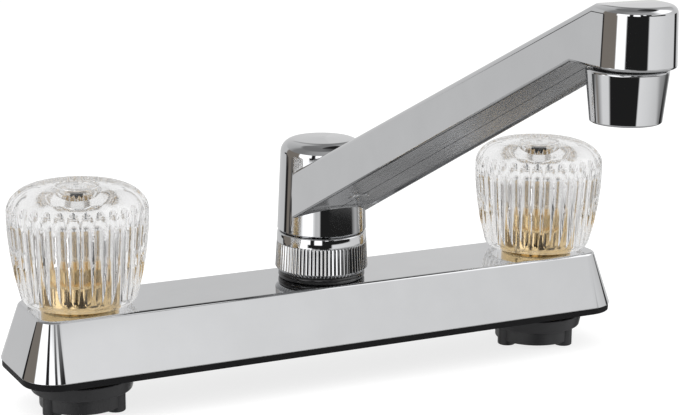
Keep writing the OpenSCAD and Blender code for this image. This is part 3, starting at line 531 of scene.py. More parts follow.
def material_for(context, slot):
    """The finish of that name, made once."""
    finish = context.scene.faucet_finish
    dull_black = tuple(0.4 * c for c in finish.plastic)
    makers = {
        "chrome": lambda: plated(finish),
        # the darker plate that paints the shade under the arm, with its duller polish and streaks
        "dull_shaded_plate": lambda: dull_shaded_plate(finish),
        "brass": lambda: turned_metal("machined_brass", tuple(finish.brass), rough=0.13, lines=16000.0,
                                      depth=0.00001),
        "copper": lambda: turned_metal("drawn_copper", tuple(finish.copper), rough=0.28, lines=400.0,
                                       depth=0.00001),
        "steel": lambda: turned_metal("stainless_steel", tuple(finish.steel), rough=0.42, lines=9000.0,
                                      depth=0.00002),
        "black_plastic": lambda: moulded("black_plastic", tuple(finish.plastic), rough=0.38,
                                         grains=1800.0, depth=0.00003),
        "gasket": lambda: moulded("gasket_plastic", dull_black, rough=0.5, grains=1500.0,
                                  depth=0.00002, gloss=0.12),
        "black_rubber": lambda: moulded("black_rubber", tuple(finish.rubber), rough=0.55,
                                        grains=1200.0, depth=0.00003),
        "washer_rubber": lambda: moulded("washer_rubber", tuple(finish.rubber), rough=0.12,
                                         grains=900.0, depth=0.000004),
        "white_nylon": lambda: moulded("white_nylon", tuple(finish.nylon), rough=0.4,
                                       grains=1500.0, depth=0.00002, spread=0.03),
        "clear_acrylic": lambda: clear(finish, "clear_acrylic", low=0.0, high=0.02),
        "moulded_acrylic": lambda: clear(finish, "moulded_acrylic", low=0.05, high=0.1),
    }
    if slot not in MADE:
        MADE[slot] = makers[slot]()
    return MADE[slot]


def outline(long, wide, radius, steps, height):
    """Rounded rectangle in plan, as a ring of points at a height."""
    points = []
    for i, (x, y) in enumerate(((1, 1), (-1, 1), (-1, -1), (1, -1))):
        corner = (x * (long / 2 - radius), y * (wide / 2 - radius))
        points += [(*p, height) for p in arc(*corner, radius, 90 * i, 90 * i + 90, steps)]
    return np.array(points)


def cover_ring(sizes, low, high, height, inset, steps=20):
    """Outline of the cover at a height above its foot, drawn in by an inset."""
    t = height / (high.z - low.z)
    long = high.x - low.x - 2 * sizes.end_flare * t - 2 * inset
    wide = high.y - low.y - 2 * sizes.side_flare * t - 2 * inset
    radius = sizes.foot_corner + (sizes.top_corner - sizes.foot_corner) * t - inset
    return outline(long, wide, radius, steps, low.z + height)


class FAUCET_OT_deck_cover(bpy.types.Operator):
    """Build the deck cover: a shell with leaning sides, a crisp rounded top edge and three holes"""
    bl_idname = "faucet.deck_cover"
    bl_label = "Deck cover"

    def execute(self, context):
        sizes = context.scene.faucet_cover
        low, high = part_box("deck_cover")
        tall = high.z - low.z
        lip = [(sizes.lip * (1 - math.cos(a)), sizes.lip * (1 - math.sin(a)))
               for a in np.radians(np.linspace(0, 90, 4))]
        edge = [(tall - sizes.edge * (1 - math.sin(a)), sizes.edge * (1 - math.cos(a)))
                for a in np.radians(np.linspace(0, 90, 9))]
        rings = [cover_ring(sizes, low, high, h, inset) for h, inset in lip + edge]
        cover = form(context, "deck_cover_shell", rings)
        inside = [cover_ring(sizes, low, high, h, sizes.wall) for h in (0.0, tall - sizes.wall)]
        below = inside[0] - np.array([0.0, 0.0, sizes.wall])
        hollow = form(context, "hollow", [below, *inside])
        holes = []
        for x, radius in ((-1, sizes.valve_hole), (1, sizes.valve_hole), (0, sizes.post_hole)):
            centre = (x * valve_x(), 0.0)
            span = [(radius, high.z - 2 * sizes.wall), (radius, high.z + sizes.wall)]
            holes.append(form(context, "hole", turned(span, ROUND, centre)))
        combine(context, cover, [hollow, *holes], "DIFFERENCE")
        polish(context, cover)
        finish_piece(cover, "faucet_body", ["deck_cover"], material_for(context, "chrome"))
        return {"FINISHED"}


def arm_lines(sizes, top):
    """The arm's lower and upper edge and its half width as functions of the distance from the axis."""
    low_slope = sizes.rise / sizes.reach
    high_slope = (sizes.rise - sizes.taper) / sizes.reach

    def low(s):
        return top + sizes.low + low_slope * s

    def high(s):
        return top + sizes.low + sizes.depth + high_slope * s

    def half(s, z):
        edge = sizes.arm_start - (sizes.arm_start - sizes.arm_end) * s / sizes.reach
        return edge - math.tan(sizes.draft) * (z - low(s))

    return low, high, half, low_slope, high_slope


def arm_solid(context, sizes, top):
    """The arm and its head as one closed form, from inside the hub to the round nose, and its floor."""
    low, high, half, low_slope, high_slope = arm_lines(sizes, top)
    floor = low(sizes.reach) - sizes.drop
    roof = high(sizes.reach) - sizes.ease
    kink = sizes.reach - sizes.drop / low_slope
    crest = sizes.reach - sizes.ease / high_slope
    nose = sizes.reach + sizes.nose_lead
    stations = [sizes.upper_edge, kink, crest, nose]
    under = {s: low(s) if s < kink else floor for s in stations}
    over = {s: high(s) if s < crest else roof for s in stations}
    lower = [(half(s, under[s]), -s, under[s]) for s in stations]
    upper = [(half(s, over[s]), -s, over[s]) for s in stations]
    turn = np.radians(np.linspace(0, 180, ROUND + 1))[1:-1]
    low_r = half(nose, floor)
    high_r = half(nose, roof)
    lower += [(low_r * math.cos(a), -nose - low_r * math.sin(a), floor) for a in turn]
    upper += [(high_r * math.cos(a), -nose - high_r * math.sin(a), roof) for a in turn]
    lower += [(-x, y, z) for x, y, z in reversed(lower[:len(stations)])]
    upper += [(-x, y, z) for x, y, z in reversed(upper[:len(stations)])]
    work = bmesh.new()
    below = [work.verts.new(p) for p in lower]
    above = [work.verts.new(p) for p in upper]
    count = len(below)
    for j in range(count):
        k = (j + 1) % count
        work.faces.new((below[j], below[k], above[k], above[j]))
    last = count - 1
    for ring, split in ((below, 1), (above, 2)):
        for a in range(split):
            work.faces.new((ring[a], ring[a + 1], ring[last - a - 1], ring[last - a]))
        work.faces.new(ring[split:count - split])
    bmesh.ops.recalc_face_normals(work, faces=work.faces)
    weights = work.edges.layers.float.new("bevel_weight_edge")
    for ring, weight in ((below, sizes.lower_edge / sizes.upper_edge), (above, 1.0)):
        members = set(ring)
        for edge in work.edges:
            flat = edge.verts[0] in members and edge.verts[1] in members
            across = edge.verts[0].co.x * edge.verts[1].co.x < 0 and edge.calc_length() > sizes.lip
            if flat and not across:
                edge[weights] = weight
    mesh = bpy.data.meshes.new("arm")
    work.to_mesh(mesh)
    work.free()
    arm = put(context, "arm", mesh)
    rounding = arm.modifiers.new("edges", "BEVEL")
    rounding.limit_method = "WEIGHT"
    rounding.width = sizes.upper_edge
    rounding.segments = 8
    rounding.use_clamp_overlap = False
    bake(context, arm)
    return arm, floor


def hub_solid(context, sizes, levels):
    """The spout's hub with its stub, a closed turned form."""
    top = levels["top"] + sizes.hub_top
    radius = sizes.hub - sizes.hub_taper
    foot = levels["ring_top"] + HUB_GAP
    tip = 0.001
    bead = sizes.hub_edge / 6
    edge = arc(radius - sizes.hub_edge, top - sizes.hub_edge, sizes.hub_edge, 0, 88, 12)
    crown = [(r, top + sizes.hub_crown * (1 - r / (radius - sizes.hub_edge)))
             for r in np.linspace(radius - sizes.hub_edge, tip, 8)[1:]]
    profile = [(sizes.stub, levels["stub"]), (sizes.stub, foot), (sizes.hub - bead, foot),
               (sizes.hub, foot + bead), *edge, *crown]
    return form(context, "spout_casting", turned(profile, HUB_ROUND))


def underside(context, sizes, top):
    """For the arm's underside: cutters for a shallow belly between two lips and its seam, and a plug."""
    low, _, half, low_slope, _ = arm_lines(sizes, top)
    angle = math.atan(low_slope)
    start = sizes.hub + sizes.lip
    end = sizes.reach - sizes.drop / low_slope - sizes.lip
    wide = [half(s, low(s)) - sizes.lip for s in (start, end)]
    along = [s / math.cos(angle) for s in (start, end)]
    tilt = Matrix.Translation((0, 0, low(0))) @ Matrix.Rotation(-angle, 4, "X")
    cutters = []
    for w0, w1, depth in ((wide[0], wide[1], sizes.belly),
                          (sizes.seam / 2, sizes.seam / 2, sizes.belly + sizes.seam / 2)):
        plan = [(-w0, -along[0]), (w0, -along[0]), (w1, -along[1]), (-w1, -along[1])]
        rings = [np.array([(*(tilt @ Vector((x, y, z))),) for x, y in plan]) for z in (depth, -OVERRUN)]
        cutters.append(form(context, "belly", rings))
    plug_at = tilt @ Vector((0, -sizes.plug_reach / math.cos(angle), sizes.belly - sizes.plug_proud))
    bevel = 0.00015
    profile = [(sizes.plug - bevel, 0.0), (sizes.plug, bevel), (sizes.plug, OVERRUN)]
    spin = Matrix.Translation(plug_at) @ Matrix.Rotation(-angle, 4, "X")
    rings = [np.array([(*(spin @ Vector(p)),) for p in ring]) for ring in turned(profile, SMALL_ROUND)]
    return cutters, form(context, "plug", rings)


class FAUCET_OT_spout(bpy.types.Operator):
    """Build the spout: a turned hub, a tapered arm with rounded edges and a level head with a nose"""
    bl_idname = "faucet.spout"
    bl_label = "Spout"

    def execute(self, context):
        sizes = context.scene.faucet_spout
        levels = heights()
        arm, floor = arm_solid(context, sizes, levels["top"])
        spout = hub_solid(context, sizes, levels)
        combine(context, spout, [arm], "UNION")
        cutters, plug = underside(context, sizes, levels["top"])
        chamber = levels["top"] + sizes.hub_top - sizes.cap
        bore = turned([(sizes.bearing, levels["stub"] - sizes.cap), (sizes.bearing, chamber)], ROUND)
        outlet = turned([(sizes.outlet, floor - sizes.cap), (sizes.outlet, floor + sizes.outlet_depth)],
                        ROUND, (0.0, -sizes.reach))
        cutters += [form(context, "bore", rings) for rings in (bore, outlet)]
        combine(context, spout, cutters, "DIFFERENCE")
        combine(context, spout, [plug], "UNION")
        polish(context, spout)
        finish_piece(spout, "spout", ["spout"], material_for(context, "chrome"))
        # the arm's downward faces between the hub and the outlet get the darker plate: painted shade
        # under the arm, with a duller polish and streaks
        end = sizes.reach - sizes.outlet
        shaded_underside_tilt = -0.8
        second_finish(spout, material_for(context, "dull_shaded_plate"),
                      lambda at, way: way.z < shaded_underside_tilt and -end < at.y < -sizes.hub / 2
                      and at.z > levels["top"] + sizes.low)
        return {"FINISHED"}


class FAUCET_OT_ring_nut(bpy.types.Operator):
    """Build the ring nut, a plain band over a row of fine upright ribs, and the washer under it"""
    bl_idname = "faucet.ring_nut"
    bl_label = "Ring nut and washer"

    def execute(self, context):
        sizes = context.scene.faucet_ring
        low, high = (corner.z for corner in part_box("spout_nut"))
        rib_points = 10
        steps = sizes.ribs * rib_points
        turn = np.linspace(0.0, 2 * math.pi, steps, endpoint=False)
        groove = (0.5 - 0.5 * np.cos(turn * sizes.ribs)) ** 2
        ease = sizes.rib_depth

        def side(z):
            return sizes.foot + (sizes.top - sizes.foot) * (z - low) / (high - low)

        rib_top = high - sizes.band
        marks = [(low + sizes.bevel, 1.0)]
        marks += [(z, 1.0) for z in np.linspace(low + sizes.bevel, rib_top - ease, 8)[1:]]
        marks += [(rib_top - ease * (1 - t), math.sqrt(1 - t * t)) for t in (0.4, 0.7, 0.9, 1.0)]
        marks += [(rib_top + HOLD, 0.0), (rib_top + LONG_HOLD, 0.0), (high - sizes.edge - HOLD, 0.0)]
        outer = [(side(z), z, share) for z, share in marks]
        edge = [(*p, 0.0) for p in arc(sizes.top - sizes.edge, high - sizes.edge, sizes.edge, 0, 90, 6)]
        profile = [(sizes.bore, low, 0.0), (sizes.foot - sizes.bevel, low, 0.0), *outer, *edge,
                   (sizes.collar, high, 0.0), (sizes.collar, high - sizes.shoulder, 0.0),
                   (sizes.bore, high - sizes.shoulder, 0.0)]
        rings = []
        for r, z, share in profile:
            radius = r - sizes.rib_depth * share * groove
            rings.append(np.stack([radius * np.cos(turn), radius * np.sin(turn), np.full(steps, z)], 1))
        nut = put(context, "ring_nut", skin("ring_nut", rings, closed=True))
        polish(context, nut, angle=35.0, flats=False)
        finish_piece(nut, "faucet_body", ["spout_nut"], material_for(context, "chrome"))
        self.make_washer(context, sizes)
        return {"FINISHED"}

    def make_washer(self, context, sizes):
        """The washer, with rounded edges and a groove round its middle."""
        low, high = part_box("spout_washer")
        e = sizes.washer_edge
        middle = (low.z + high.z) / 2
        profile = [(sizes.bore, low.z), *arc(high.x - e, low.z + e, e, -90, 0, 8),
                   (high.x - sizes.washer_step, middle), *arc(high.x - e, high.z - e, e, 0, 90, 8),
                   (sizes.bore, high.z)]
        rings = turned(profile, LARGE_ROUND)
        washer = put(context, "ring_washer", skin("ring_washer", rings, closed=True))
        polish(context, washer, angle=35.0, flats=False)
        finish_piece(washer, "faucet_body", ["spout_washer"],
                     material_for(context, "washer_rubber"))


class FAUCET_OT_aerator(bpy.types.Operator):
    """Build the aerator's housing: a tapered sleeve with rounded edges and its threaded spigot"""
    bl_idname = "faucet.aerator"
    bl_label = "Aerator housing"

    def execute(self, context):
        sizes = context.scene.faucet_aerator
        low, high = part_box("aerator_shell")
        centre = (0.0, (low.y + high.y) / 2)
        foot = low.z
        top = foot + sizes.height
        lean = (sizes.top - sizes.foot) / sizes.height * LONG_HOLD
        profile = [(sizes.mouth, foot),
                   *arc(sizes.foot - sizes.edge, foot + sizes.edge, sizes.edge, -90, 0, 8),
                   (sizes.foot + lean, foot + sizes.edge + LONG_HOLD),
                   (sizes.top - lean, top - sizes.edge - LONG_HOLD),
                   *arc(sizes.top - sizes.edge, top - sizes.edge, sizes.edge, 0, 90, 8),
                   (sizes.spigot, top), (sizes.spigot, high.z), (sizes.bore, high.z),
                   (sizes.bore, foot + sizes.step), (sizes.mouth, foot + sizes.step)]
        rings = turned(profile, SLEEVE_ROUND, centre)
        housing = put(context, "aerator_housing", skin("aerator_housing", rings, closed=True))
        polish(context, housing, angle=35.0, flats=False)
        finish_piece(housing, "spout", ["aerator_shell"], material_for(context, "chrome"))
        # painted shadow: the spigot's faces in the joint under the spout's head get black rubber,
        # standing for the shadow in that gap
        joint_shadow_from = top - 0.00001
        upward = 0.9
        second_finish(housing, material_for(context, "black_rubber"),
                      lambda at, way: at.z > joint_shadow_from and way.z < upward)
        return {"FINISHED"}


def fluted_ring(sizes, radius, height, floor, x):
    """A ring round the knob, with the flutes cut into it where their floor lies under its radius."""
    pitch = 2 * math.pi / sizes.flutes
    centre = floor + sizes.flute
    reach = (centre ** 2 + radius ** 2 - sizes.flute ** 2) / (2 * centre * radius)
    cut = math.acos(min(1.0, reach))
    least = pitch * 0.015
    edge = max(cut, least)
    inside = np.linspace(-edge, edge, FLUTE_STEPS + 1)
    outside = np.linspace(edge, pitch - edge, LAND_STEPS + 1)[1:-1]
    if cut > least:
        depth = np.clip(sizes.flute ** 2 - (centre * np.sin(inside)) ** 2, 0.0, None)
        r_in = np.minimum(radius, centre * np.cos(inside) - np.sqrt(depth))
    else:
        r_in = np.full(FLUTE_STEPS + 1, radius)
    angles = np.concatenate([inside, outside])
    radii = np.concatenate([r_in, np.full(LAND_STEPS - 1, radius)])
    turns = np.arange(sizes.flutes) * pitch
    angle = (turns[:, None] + angles[None, :]).ravel()
    r = np.tile(radii, sizes.flutes)
    return np.stack([x + r * np.cos(angle), r * np.sin(angle), np.full(len(r), height)], 1)


def knob_rings(sizes, low, high, x):
    """Rings along the knob's section: out over its fluted side, in over its top and down its socket."""
    tall = high - low
    belly = tall - sizes.crown
    hollow = tall - sizes.solid_top
    base = sizes.foot + sizes.flute_foot
    slope = (sizes.belly - sizes.flute_depth - base) / (belly - sizes.flute_start)
    near_foot = np.linspace(0.03, 0.2, 9)
    further_up = np.linspace(0.22, 1.0, 24)
    side = [(sizes.foot, sizes.bevel)]
    side += [(sizes.belly - (sizes.belly - sizes.foot) * (1 - u) ** sizes.power, belly * u)
             for u in np.concatenate([near_foot, further_up])]
    crown = [(sizes.top + (sizes.belly - sizes.top) * math.cos(a), belly + sizes.crown * math.sin(a))
             for a in np.radians(np.linspace(0, 90, 22))[1:]]
    count = sizes.flutes * (FLUTE_STEPS + LAND_STEPS)
    first = -0.03    # the plain rings start near the edge of a flute, so that the faces don't twist
    turn = np.linspace(0.0, 2 * math.pi, count, endpoint=False) + first
    teeth = sizes.spline_depth * (0.5 - 0.5 * np.cos(turn * sizes.splines))

    def plain(r, h):
        radius = np.broadcast_to(r, (count,))
        return np.stack([x + radius * np.cos(turn), radius * np.sin(turn), np.full(count, low + h)], 1)

    rings = [plain(sizes.foot - sizes.skirt, 0.0), plain(sizes.foot - sizes.bevel, 0.0)]
    rings += [fluted_ring(sizes, r, low + h, base + slope * (h - sizes.flute_start), x)
              for r, h in side + crown]
    recess = tall - sizes.recess_depth
    recess_edge = 0.0002
    boss_edge = 0.0004
    boss_foot = 0.0005
    rings += [plain(sizes.recess + recess_edge, tall), plain(sizes.recess, tall - recess_edge),
              plain(sizes.recess, recess), plain(sizes.head_pocket, recess),
              plain(sizes.head_pocket, sizes.screw_seat), plain(sizes.screw_hole, sizes.screw_seat),
              plain(sizes.screw_hole, sizes.socket_top),
              plain(sizes.socket - teeth, sizes.socket_top),
              plain(sizes.socket - teeth, sizes.boss_start),
              plain(sizes.boss - boss_edge, sizes.boss_start),
              plain(sizes.boss, sizes.boss_start + boss_edge),
              plain(sizes.boss, hollow - boss_foot), plain(sizes.boss + boss_foot, hollow)]
    round_off = sizes.ceiling_round
    reach = sizes.belly - sizes.ceiling_wall
    ceiling = arc(reach - round_off, hollow - round_off, round_off, 0, 90, 16)
    rings += [plain(r, h) for r, h in reversed(ceiling)]
    return rings


class FAUCET_OT_knobs(bpy.types.Operator):
    """Build the two clear knobs, fluted from foot to shoulder, and the index buttons in their tops"""
    bl_idname = "faucet.knobs"
    bl_label = "Knobs and buttons"

    def execute(self, context):
        sizes = context.scene.faucet_knob
        acrylic = material_for(context, "clear_acrylic")
        for side, sign in zip(SIDES, (-1, 1)):
            x = sign * valve_x()
            low, high = (corner.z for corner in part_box(f"{side}_knob"))
            rings = knob_rings(sizes, low, high, x)
            knob = put(context, f"{side}_fluted_knob", skin("fluted_knob", rings, closed=True))
            polish(context, knob, angle=24.0, flats=False)
            finish_piece(knob, f"{side}_handle", [f"{side}_knob"], acrylic)
            margin = 0.0001
            roof = high - sizes.recess_depth - margin
            inner = sizes.belly - sizes.ceiling_wall + 2 * margin
            second_finish(knob, material_for(context, "moulded_acrylic"),
                          lambda at, way: math.hypot(at.x - x, at.y) < inner and at.z < roof)
            foot = high - sizes.button_height
            e = sizes.button_edge
            profile = [(sizes.button - e, foot), (sizes.button, foot + e),
                       *arc(sizes.button - e, high - e, e, 0, 90, 5), (sizes.dimple, high),
                       (sizes.dimple / 2, high - sizes.dimple_depth)]
            button = put(context, f"{side}_button", skin("button", turned(profile, ROUND, (x, 0.0))))
            polish(context, button)
            finish_piece(button, f"{side}_handle", [f"{side}_index_button"], acrylic)
        return {"FINISHED"}


class FAUCET_OT_wing_nuts(bpy.types.Operator):
    """Build the two moulded mounting nuts: a flange, a skirt, a hub and three lobes"""
    bl_idname = "faucet.wing_nuts"
    bl_label = "Mounting nuts"

    def execute(self, context):
        sizes = context.scene.faucet_nut
        e = sizes.edge
        for side, sign, turn in zip(SIDES, (-1, 1), (sizes.hot_turn, sizes.cold_turn)):
            x = sign * valve_x()
            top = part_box(f"{side}_wing_nut")[1].z
            flange = top - sizes.flange_height
            skirt = flange - sizes.skirt_height
            hub = flange - sizes.hub_height
            low_r = sizes.flange - sizes.flange_taper
            profile = [(sizes.bore, top), (sizes.bore, hub),
                       *arc(sizes.hub - e, hub + e, e, -90, 0, 4), (sizes.hub, skirt),
                       *arc(sizes.skirt - e, skirt + e, e, -90, 0, 4), (sizes.skirt, flange),
                       *arc(low_r - e, flange + e, e, -90, 0, 4),
                       *arc(sizes.flange - e, top - e, e, 0, 90, 4)]
            rings = turned(profile, LARGE_ROUND, (x, 0.0))
            nut = put(context, f"{side}_mounting_nut", skin("mounting_nut", rings, closed=True))
            lobes = []
            for i in range(sizes.lobes):
                angle = turn + 2 * math.pi * i / sizes.lobes
                centre = (x + sizes.lobe_reach * math.cos(angle), sizes.lobe_reach * math.sin(angle))
                foot = flange - sizes.lobe_height
                shape = [*arc(sizes.lobe - e, foot + e, e, -80, 0, 4), (sizes.lobe, flange + e)]
                lobes.append(form(context, "lobe", turned(shape, SMALL_ROUND, centre)))
            combine(context, nut, lobes, "UNION")
            deep = 0.01
            span = [(sizes.bore, hub - deep), (sizes.bore, top + OVERRUN)]
            reamer = form(context, "reamer", turned(span, LARGE_ROUND, (x, 0.0)))
            combine(context, nut, [reamer], "DIFFERENCE")
            polish(context, nut, angle=35.0)
            finish_piece(nut, "faucet_body", [f"{side}_wing_nut"],
                         material_for(context, "black_plastic"))
        return {"FINISHED"}


class FAUCET_OT_works(bpy.types.Operator):
    """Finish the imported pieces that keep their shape: valves, stems, seals, tubes, post and screens"""
    bl_idname = "faucet.works"
    bl_label = "Valve works"

    def execute(self, context):
        slots = {part["node"]: part["material_slot"] for part in frame["record"]["subparts"]}
        slots["base_gasket"] = "gasket"    # the same slot as the nuts, with a duller finish
        for name, item in frame["nodes"].items():
            if not item.hide_render:
                material = material_for(context, slots[name])
                item.data.materials.clear()
                item.data.materials.append(material)
        return {"FINISHED"}


def aim(place, heading, tilt, roll):
    """The matrix of a camera at a place, with its heading from +Y towards +X, its tilt and its roll."""
    forward = Vector((math.sin(heading) * math.cos(tilt), math.cos(heading) * math.cos(tilt),
                      math.sin(tilt)))
    right = forward.cross(Vector((0, 0, 1))).normalized()
    up = right.cross(forward)
    across = right * math.cos(roll) + up * math.sin(roll)
    upward = up * math.cos(roll) - right * math.sin(roll)
    turn = Matrix((across, upward, -forward)).transposed().to_4x4()
    return Matrix.Translation(place) @ turn


def round_angle(nodes, vector, heading):
    """A direction's angle from the camera's side, 0 for -180 to 1 for 180 degrees, and its rise."""
    parts = nodes.add("ShaderNodeSeparateXYZ", {0: vector})
    x, y = parts.outputs[0], parts.outputs[1]
    c, s = math.cos(heading), math.sin(heading)
    right = nodes.sum("SUBTRACT", nodes.sum("MULTIPLY", x, c), nodes.sum("MULTIPLY", y, s))
    near = nodes.sum("ADD", nodes.sum("MULTIPLY", x, -s), nodes.sum("MULTIPLY", y, -c))
    angle = nodes.sum("ARCTAN2", right, near)
    return nodes.sum("MULTIPLY_ADD", angle, 0.5 / math.pi, 0.5), parts.outputs[2]


# Shades of the room that the plating mirrors
WALL = 0.76
DARK = 0.02
TAN = (0.27, 0.24, 0.21)
WHITE = 1.9
# Stretches that more than one ring of the room has
LEFT_BACK = [
    (-180, 0.7), (-140, WALL), (-116, WALL), (-113, DARK), (-105, DARK), (-102, TAN), (-95, TAN),
]
HEAD_FRONT = [
    (-64, TAN), (-60.5, WHITE), (-37, WHITE), (-33, DARK), (25, DARK), (28.5, 1.1), (60, 1.03),
    (80, 0.95), (117, 0.88), (120, DARK), (132, DARK), (138, WALL), (180, WALL),
]
CORNER = [
    (-180, WALL), (-118, WALL), (-112, TAN), (-67, TAN), (-64, WHITE), (-29.5, WHITE), (-27, DARK),
    (-18.5, DARK), (-16.5, WHITE), (0.5, WHITE), (2.5, DARK),
]
# The room, ring by ring from below: top of the ring in degrees above the horizon, softness of that
# border in degrees, how much it sinks towards the back, and the light round the ring by the angle in
# degrees from the camera's side, to the right positive
ROOM = (
    (-29.5, 2, 0, [
        (-180, DARK), (-176, DARK), (-174, 0.2), (-140, 0.2), (-120, 0.5), (120, 0.5), (140, 0.2),
        (173, 0.2), (175, DARK), (180, DARK),
    ]),
    (-17, 1, 0, [
        (-180, 1.2), (-165, DARK), (-155, DARK), (-150, WALL), (-126, WALL), (-122, DARK), (-117, DARK),
        (-113, WALL), (-104, TAN), (-96, 0.5), (-84, 1.0), (-63, 1.0), (-57, DARK), (24, DARK),
        (28, 1.08), (60, 0.98), (90, 0.84), (110, 0.84), (118, 0.6), (124, DARK), (145, DARK),
        (160, 1.2), (180, 1.2),
    ]),
    (-14.3, 0.6, 0, [
        (-180, DARK), (-163, DARK), (-150, WALL), (-127, WALL), (-122, DARK), (-113, 0.17),
        (-104, 0.33), (-88, 0.8), (-79, 1.4), (-60, 1.35), (-50, 1.6), (-30, 2.2), (-18, 1.8),
        (-8, 0.75), (0, 0.5), (12, 0.28), (31, 0.25), (44, 0.55), (70, 0.65), (90, 0.5), (105, 0.42),
        (118, 0.3), (122, DARK), (150, DARK), (160, WALL), (180, WALL),
    ]),
    (-8.45, 0.2, 0.096, [
        *LEFT_BACK, (-92, 0.05), (-89, 0.06), (-85, 0.35), (-82, 0.4), (-79, WHITE), (-74, WHITE),
        (-71, 0.5), (-60, 0.45), (-54, 0.9), (-47, WHITE), (-24, WHITE), (-20, 1.1), (-15, 0.75),
        (-5, 0.8), (-2, DARK), (85, DARK), (90, 0.3), (99, 0.6), (107, 0.4), (118, 0.2), (126, 0.1),
        (140, 0.1), (150, 0.5), (180, 0.65),
    ]),
    (-6.9, 0.2, 0.096, [
        *LEFT_BACK, (-88, 0.12), (-84, 0.5), (-80, WHITE), (-77, 1.6), (-72, 0.6), (-66, 0.35),
        (-61, 1.2), (-54, 1.8), (-26, 1.5), (-22, DARK), (18.5, DARK), (22, 0.7), (27, 1.05),
        (45, 0.95), (60, 0.75), (80, 0.85), (90, 0.9), (97, 0.6), (110, 0.45), (130, 0.35), (160, 0.4),
        (180, WALL),
    ]),
    (-4.6, 0.2, 0, [
        (-180, WALL), (-115.6, WALL), (-114.6, DARK), (-110.5, DARK), (-107.5, TAN), *HEAD_FRONT,
    ]),
    (1, 2, 0, [
        (-180, WALL), (-125, WALL), (-124, DARK), (-114, DARK), (-111.5, TAN), *HEAD_FRONT,
    ]),
    (13.5, 1.5, 0, [
        *CORNER, (75, DARK), (80, 0.94), (125, WALL), (180, 0.8),
    ]),
    (22, 3, 0, [
        *CORNER, (9, DARK), (10.5, 1.6), (17.5, 1.6), (19, DARK), (32.5, DARK), (35, 1.13), (46, 1.12),
        (55, 1.0), (65, 0.94), (125, WALL), (180, 0.8),
    ]),
    (57, 6, 0, [
        (-180, 0.3), (-172, 0.5), (-165, WALL), (-118, 0.6), (-95, 0.3), (-60, 0.3), (-30, 0.42),
        (10, 0.5), (45, 0.55), (60, 1.2), (75, WHITE), (112, WHITE), (125, WALL), (155, 0.5),
        (165, 0.4), (173, 0.3), (180, 0.3),
    ]),
    (90, 0, 0, [
        (-180, 0.3), (-120, 0.25), (0, 0.25), (80, 0.1), (88, DARK), (150, DARK), (165, 0.3),
        (180, 0.3),
    ]),
)


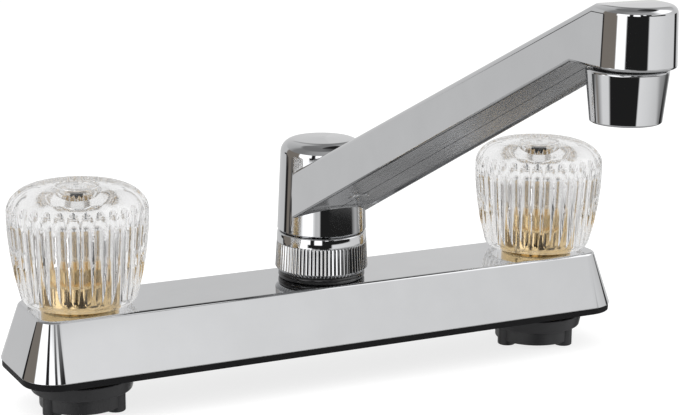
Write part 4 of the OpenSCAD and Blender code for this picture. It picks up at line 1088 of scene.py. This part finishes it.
class FAUCET_OT_studio(bpy.types.Operator):
    """Set up the camera, the pale floor, the soft light and the room that the chrome reflects"""
    bl_idname = "faucet.studio"
    bl_label = "Studio"

    def execute(self, context):
        studio = context.scene.faucet_studio
        self.make_camera(context, studio)
        self.make_room(context, studio)
        self.make_floor(context, studio)
        self.make_lamps(context)
        for kind in ("max_bounces", "transmission_bounces", "glossy_bounces"):
            setattr(context.scene.cycles, kind, studio.bounces)
        context.scene.view_settings.view_transform = "Standard"
        return {"FINISHED"}

    def make_camera(self, context, studio):
        """The camera, placed and aimed."""
        lens = bpy.data.cameras.new("camera")
        lens.lens = studio.lens
        lens.sensor_width = 36.0
        camera = put(context, "camera", lens)
        camera.matrix_world = aim(Vector(studio.camera_place), studio.heading, studio.tilt, studio.roll)
        context.scene.camera = camera

    def make_room(self, context, studio):
        """The world: the room for reflections, even light for the rest, and white behind the object."""
        world = bpy.data.worlds.new("room")
        world.use_nodes = True
        context.scene.world = world
        nodes = Nodes(world.node_tree)
        way = nodes.add("ShaderNodeTexCoord").outputs["Generated"]
        angle, up = round_angle(nodes, way, studio.heading)
        height = nodes.sum("MULTIPLY_ADD", up, 0.5, 0.5)
        nearness = nodes.sum("SINE", nodes.sum("MULTIPLY", angle, math.pi))
        room = share = None
        for border, soft, sink, stops in ROOM:
            ring = nodes.ramp(angle, [(place / 360 + 0.5, shade) for place, shade in stops])
            room = ring if room is None else nodes.mix(share, room, ring)
            limits = [math.sin(math.radians(border + side * soft / 2)) / 2 + 0.5 for side in (-1, 1)]
            level = height
            if sink:
                far = nodes.sum("SUBTRACT", 1.0, nearness)
                level = nodes.sum("MULTIPLY_ADD", far, sink / 2, height)
            share = nodes.ramp(level, [(limits[0], 0.0), (limits[1], 1.0)])
        path = nodes.add("ShaderNodeLightPath").outputs
        even = nodes.mix(path["Is Glossy Ray"], (studio.fill,) * 3 + (1.0,), room)
        # what is seen through the knobs is white behind the object and above it
        behind = nodes.ramp(angle, [(0.12, 1.0), (0.2, 0.0), (0.8, 0.0), (0.88, 1.0)])
        above = nodes.ramp(height, [(0.55, 0.0), (0.65, 1.0)])
        through = nodes.mix(nodes.sum("MAXIMUM", behind, above), room, WHITE_LIGHT)
        lit = nodes.mix(path["Is Transmission Ray"], even, through)
        seen = nodes.mix(path["Is Camera Ray"], lit, WHITE_LIGHT)
        link(nodes, seen, world.node_tree.nodes["Background"], "Color")

    def make_floor(self, context, studio):
        """The floor, which shows only as much shadow as the studio's shade lets it."""
        half = studio.floor_size / 2
        height = cad_bounds[0][2]
        mesh = bpy.data.meshes.new("floor")
        mesh.from_pydata([(-half, -half, height), (half, -half, height), (half, half, height),
                          (-half, half, height)], [], [(0, 1, 2, 3)])
        floor = put(context, "floor", mesh)
        material, nodes, shader, place = finish_base("floor")
        grain = nodes.add("ShaderNodeTexNoise", {"Vector": place, "Scale": 30.0}).outputs[0]
        lighter = 1.01
        tint = tuple(studio.floor)
        pale = tuple(min(1, c * lighter) for c in tint)
        link(nodes, nodes.ramp(grain, [(0.0, tint), (1.0, pale)]), shader, "Base Color")
        shader.inputs["Roughness"].default_value = 0.9
        shader.inputs["Specular IOR Level"].default_value = 0.0
        glow = nodes.add("ShaderNodeEmission", {"Color": WHITE_LIGHT, "Strength": 1.2}).outputs[0]
        body = shader.outputs[0]
        lit = nodes.add("ShaderNodeMixShader", {0: studio.shade, 1: glow, 2: body}).outputs[0]
        path = nodes.add("ShaderNodeLightPath").outputs
        seen = nodes.add("ShaderNodeMixShader", {0: path["Is Camera Ray"], 1: body, 2: lit}).outputs[0]
        link(nodes, seen, material.node_tree.nodes["Material Output"], "Surface")
        floor.data.materials.append(material)
        floor.visible_glossy = False
        floor.visible_transmission = False

    def make_lamps(self, context):
        """Three soft lamps round the object, aimed at its middle and kept out of its reflections."""
        for name, place, size, power in (("key_lamp", (-0.9, -0.5, 1.1), 1.0, 9.0),
                                         ("fill_lamp", (0.9, -0.6, 1.0), 1.2, 5.0),
                                         ("top_lamp", (0.0, 0.2, 1.5), 1.4, 7.0)):
            light = bpy.data.lights.new(name, "AREA")
            light.size = size
            light.energy = power
            lamp = put(context, name, light)
            lamp.location = place
            lamp.rotation_euler = (-Vector(place)).to_track_quat("-Z", "Y").to_euler()
            lamp.visible_glossy = False
            lamp.visible_transmission = False


OPERATORS = (FAUCET_OT_deck_cover, FAUCET_OT_spout, FAUCET_OT_ring_nut, FAUCET_OT_aerator,
             FAUCET_OT_knobs, FAUCET_OT_wing_nuts, FAUCET_OT_works, FAUCET_OT_studio)


class FAUCET_PT_panel(bpy.types.Panel):
    """Lists the faucet's pieces and their sizes"""
    bl_idname = "FAUCET_PT_panel"
    bl_label = "Two handle faucet"
    bl_space_type = "VIEW_3D"
    bl_region_type = "UI"
    bl_category = "Faucet"

    def draw(self, context):
        for operator in OPERATORS:
            self.layout.operator(operator.bl_idname)
        for key, group in SETTINGS.items():
            box = self.layout.box()
            settings = getattr(context.scene, key)
            for name in group.__annotations__:
                box.prop(settings, name)


def register():
    """Adds the settings, the operators and the panel."""
    for group in SETTINGS.values():
        bpy.utils.register_class(group)
    for key, group in SETTINGS.items():
        setattr(bpy.types.Scene, key, PointerProperty(type=group))
    for item in (*OPERATORS, FAUCET_PT_panel):
        bpy.utils.register_class(item)


def unregister():
    """Takes them away again."""
    for item in reversed((*OPERATORS, FAUCET_PT_panel)):
        bpy.utils.unregister_class(item)
    for key, group in SETTINGS.items():
        delattr(bpy.types.Scene, key)
        bpy.utils.unregister_class(group)


def main():
    """Builds the pieces in order."""
    register()
    bpy.ops.faucet.deck_cover()
    bpy.ops.faucet.spout()
    bpy.ops.faucet.ring_nut()
    bpy.ops.faucet.aerator()
    bpy.ops.faucet.knobs()
    bpy.ops.faucet.wing_nuts()
    bpy.ops.faucet.works()
    bpy.ops.faucet.studio()


if __name__ == "__main__":
    main()
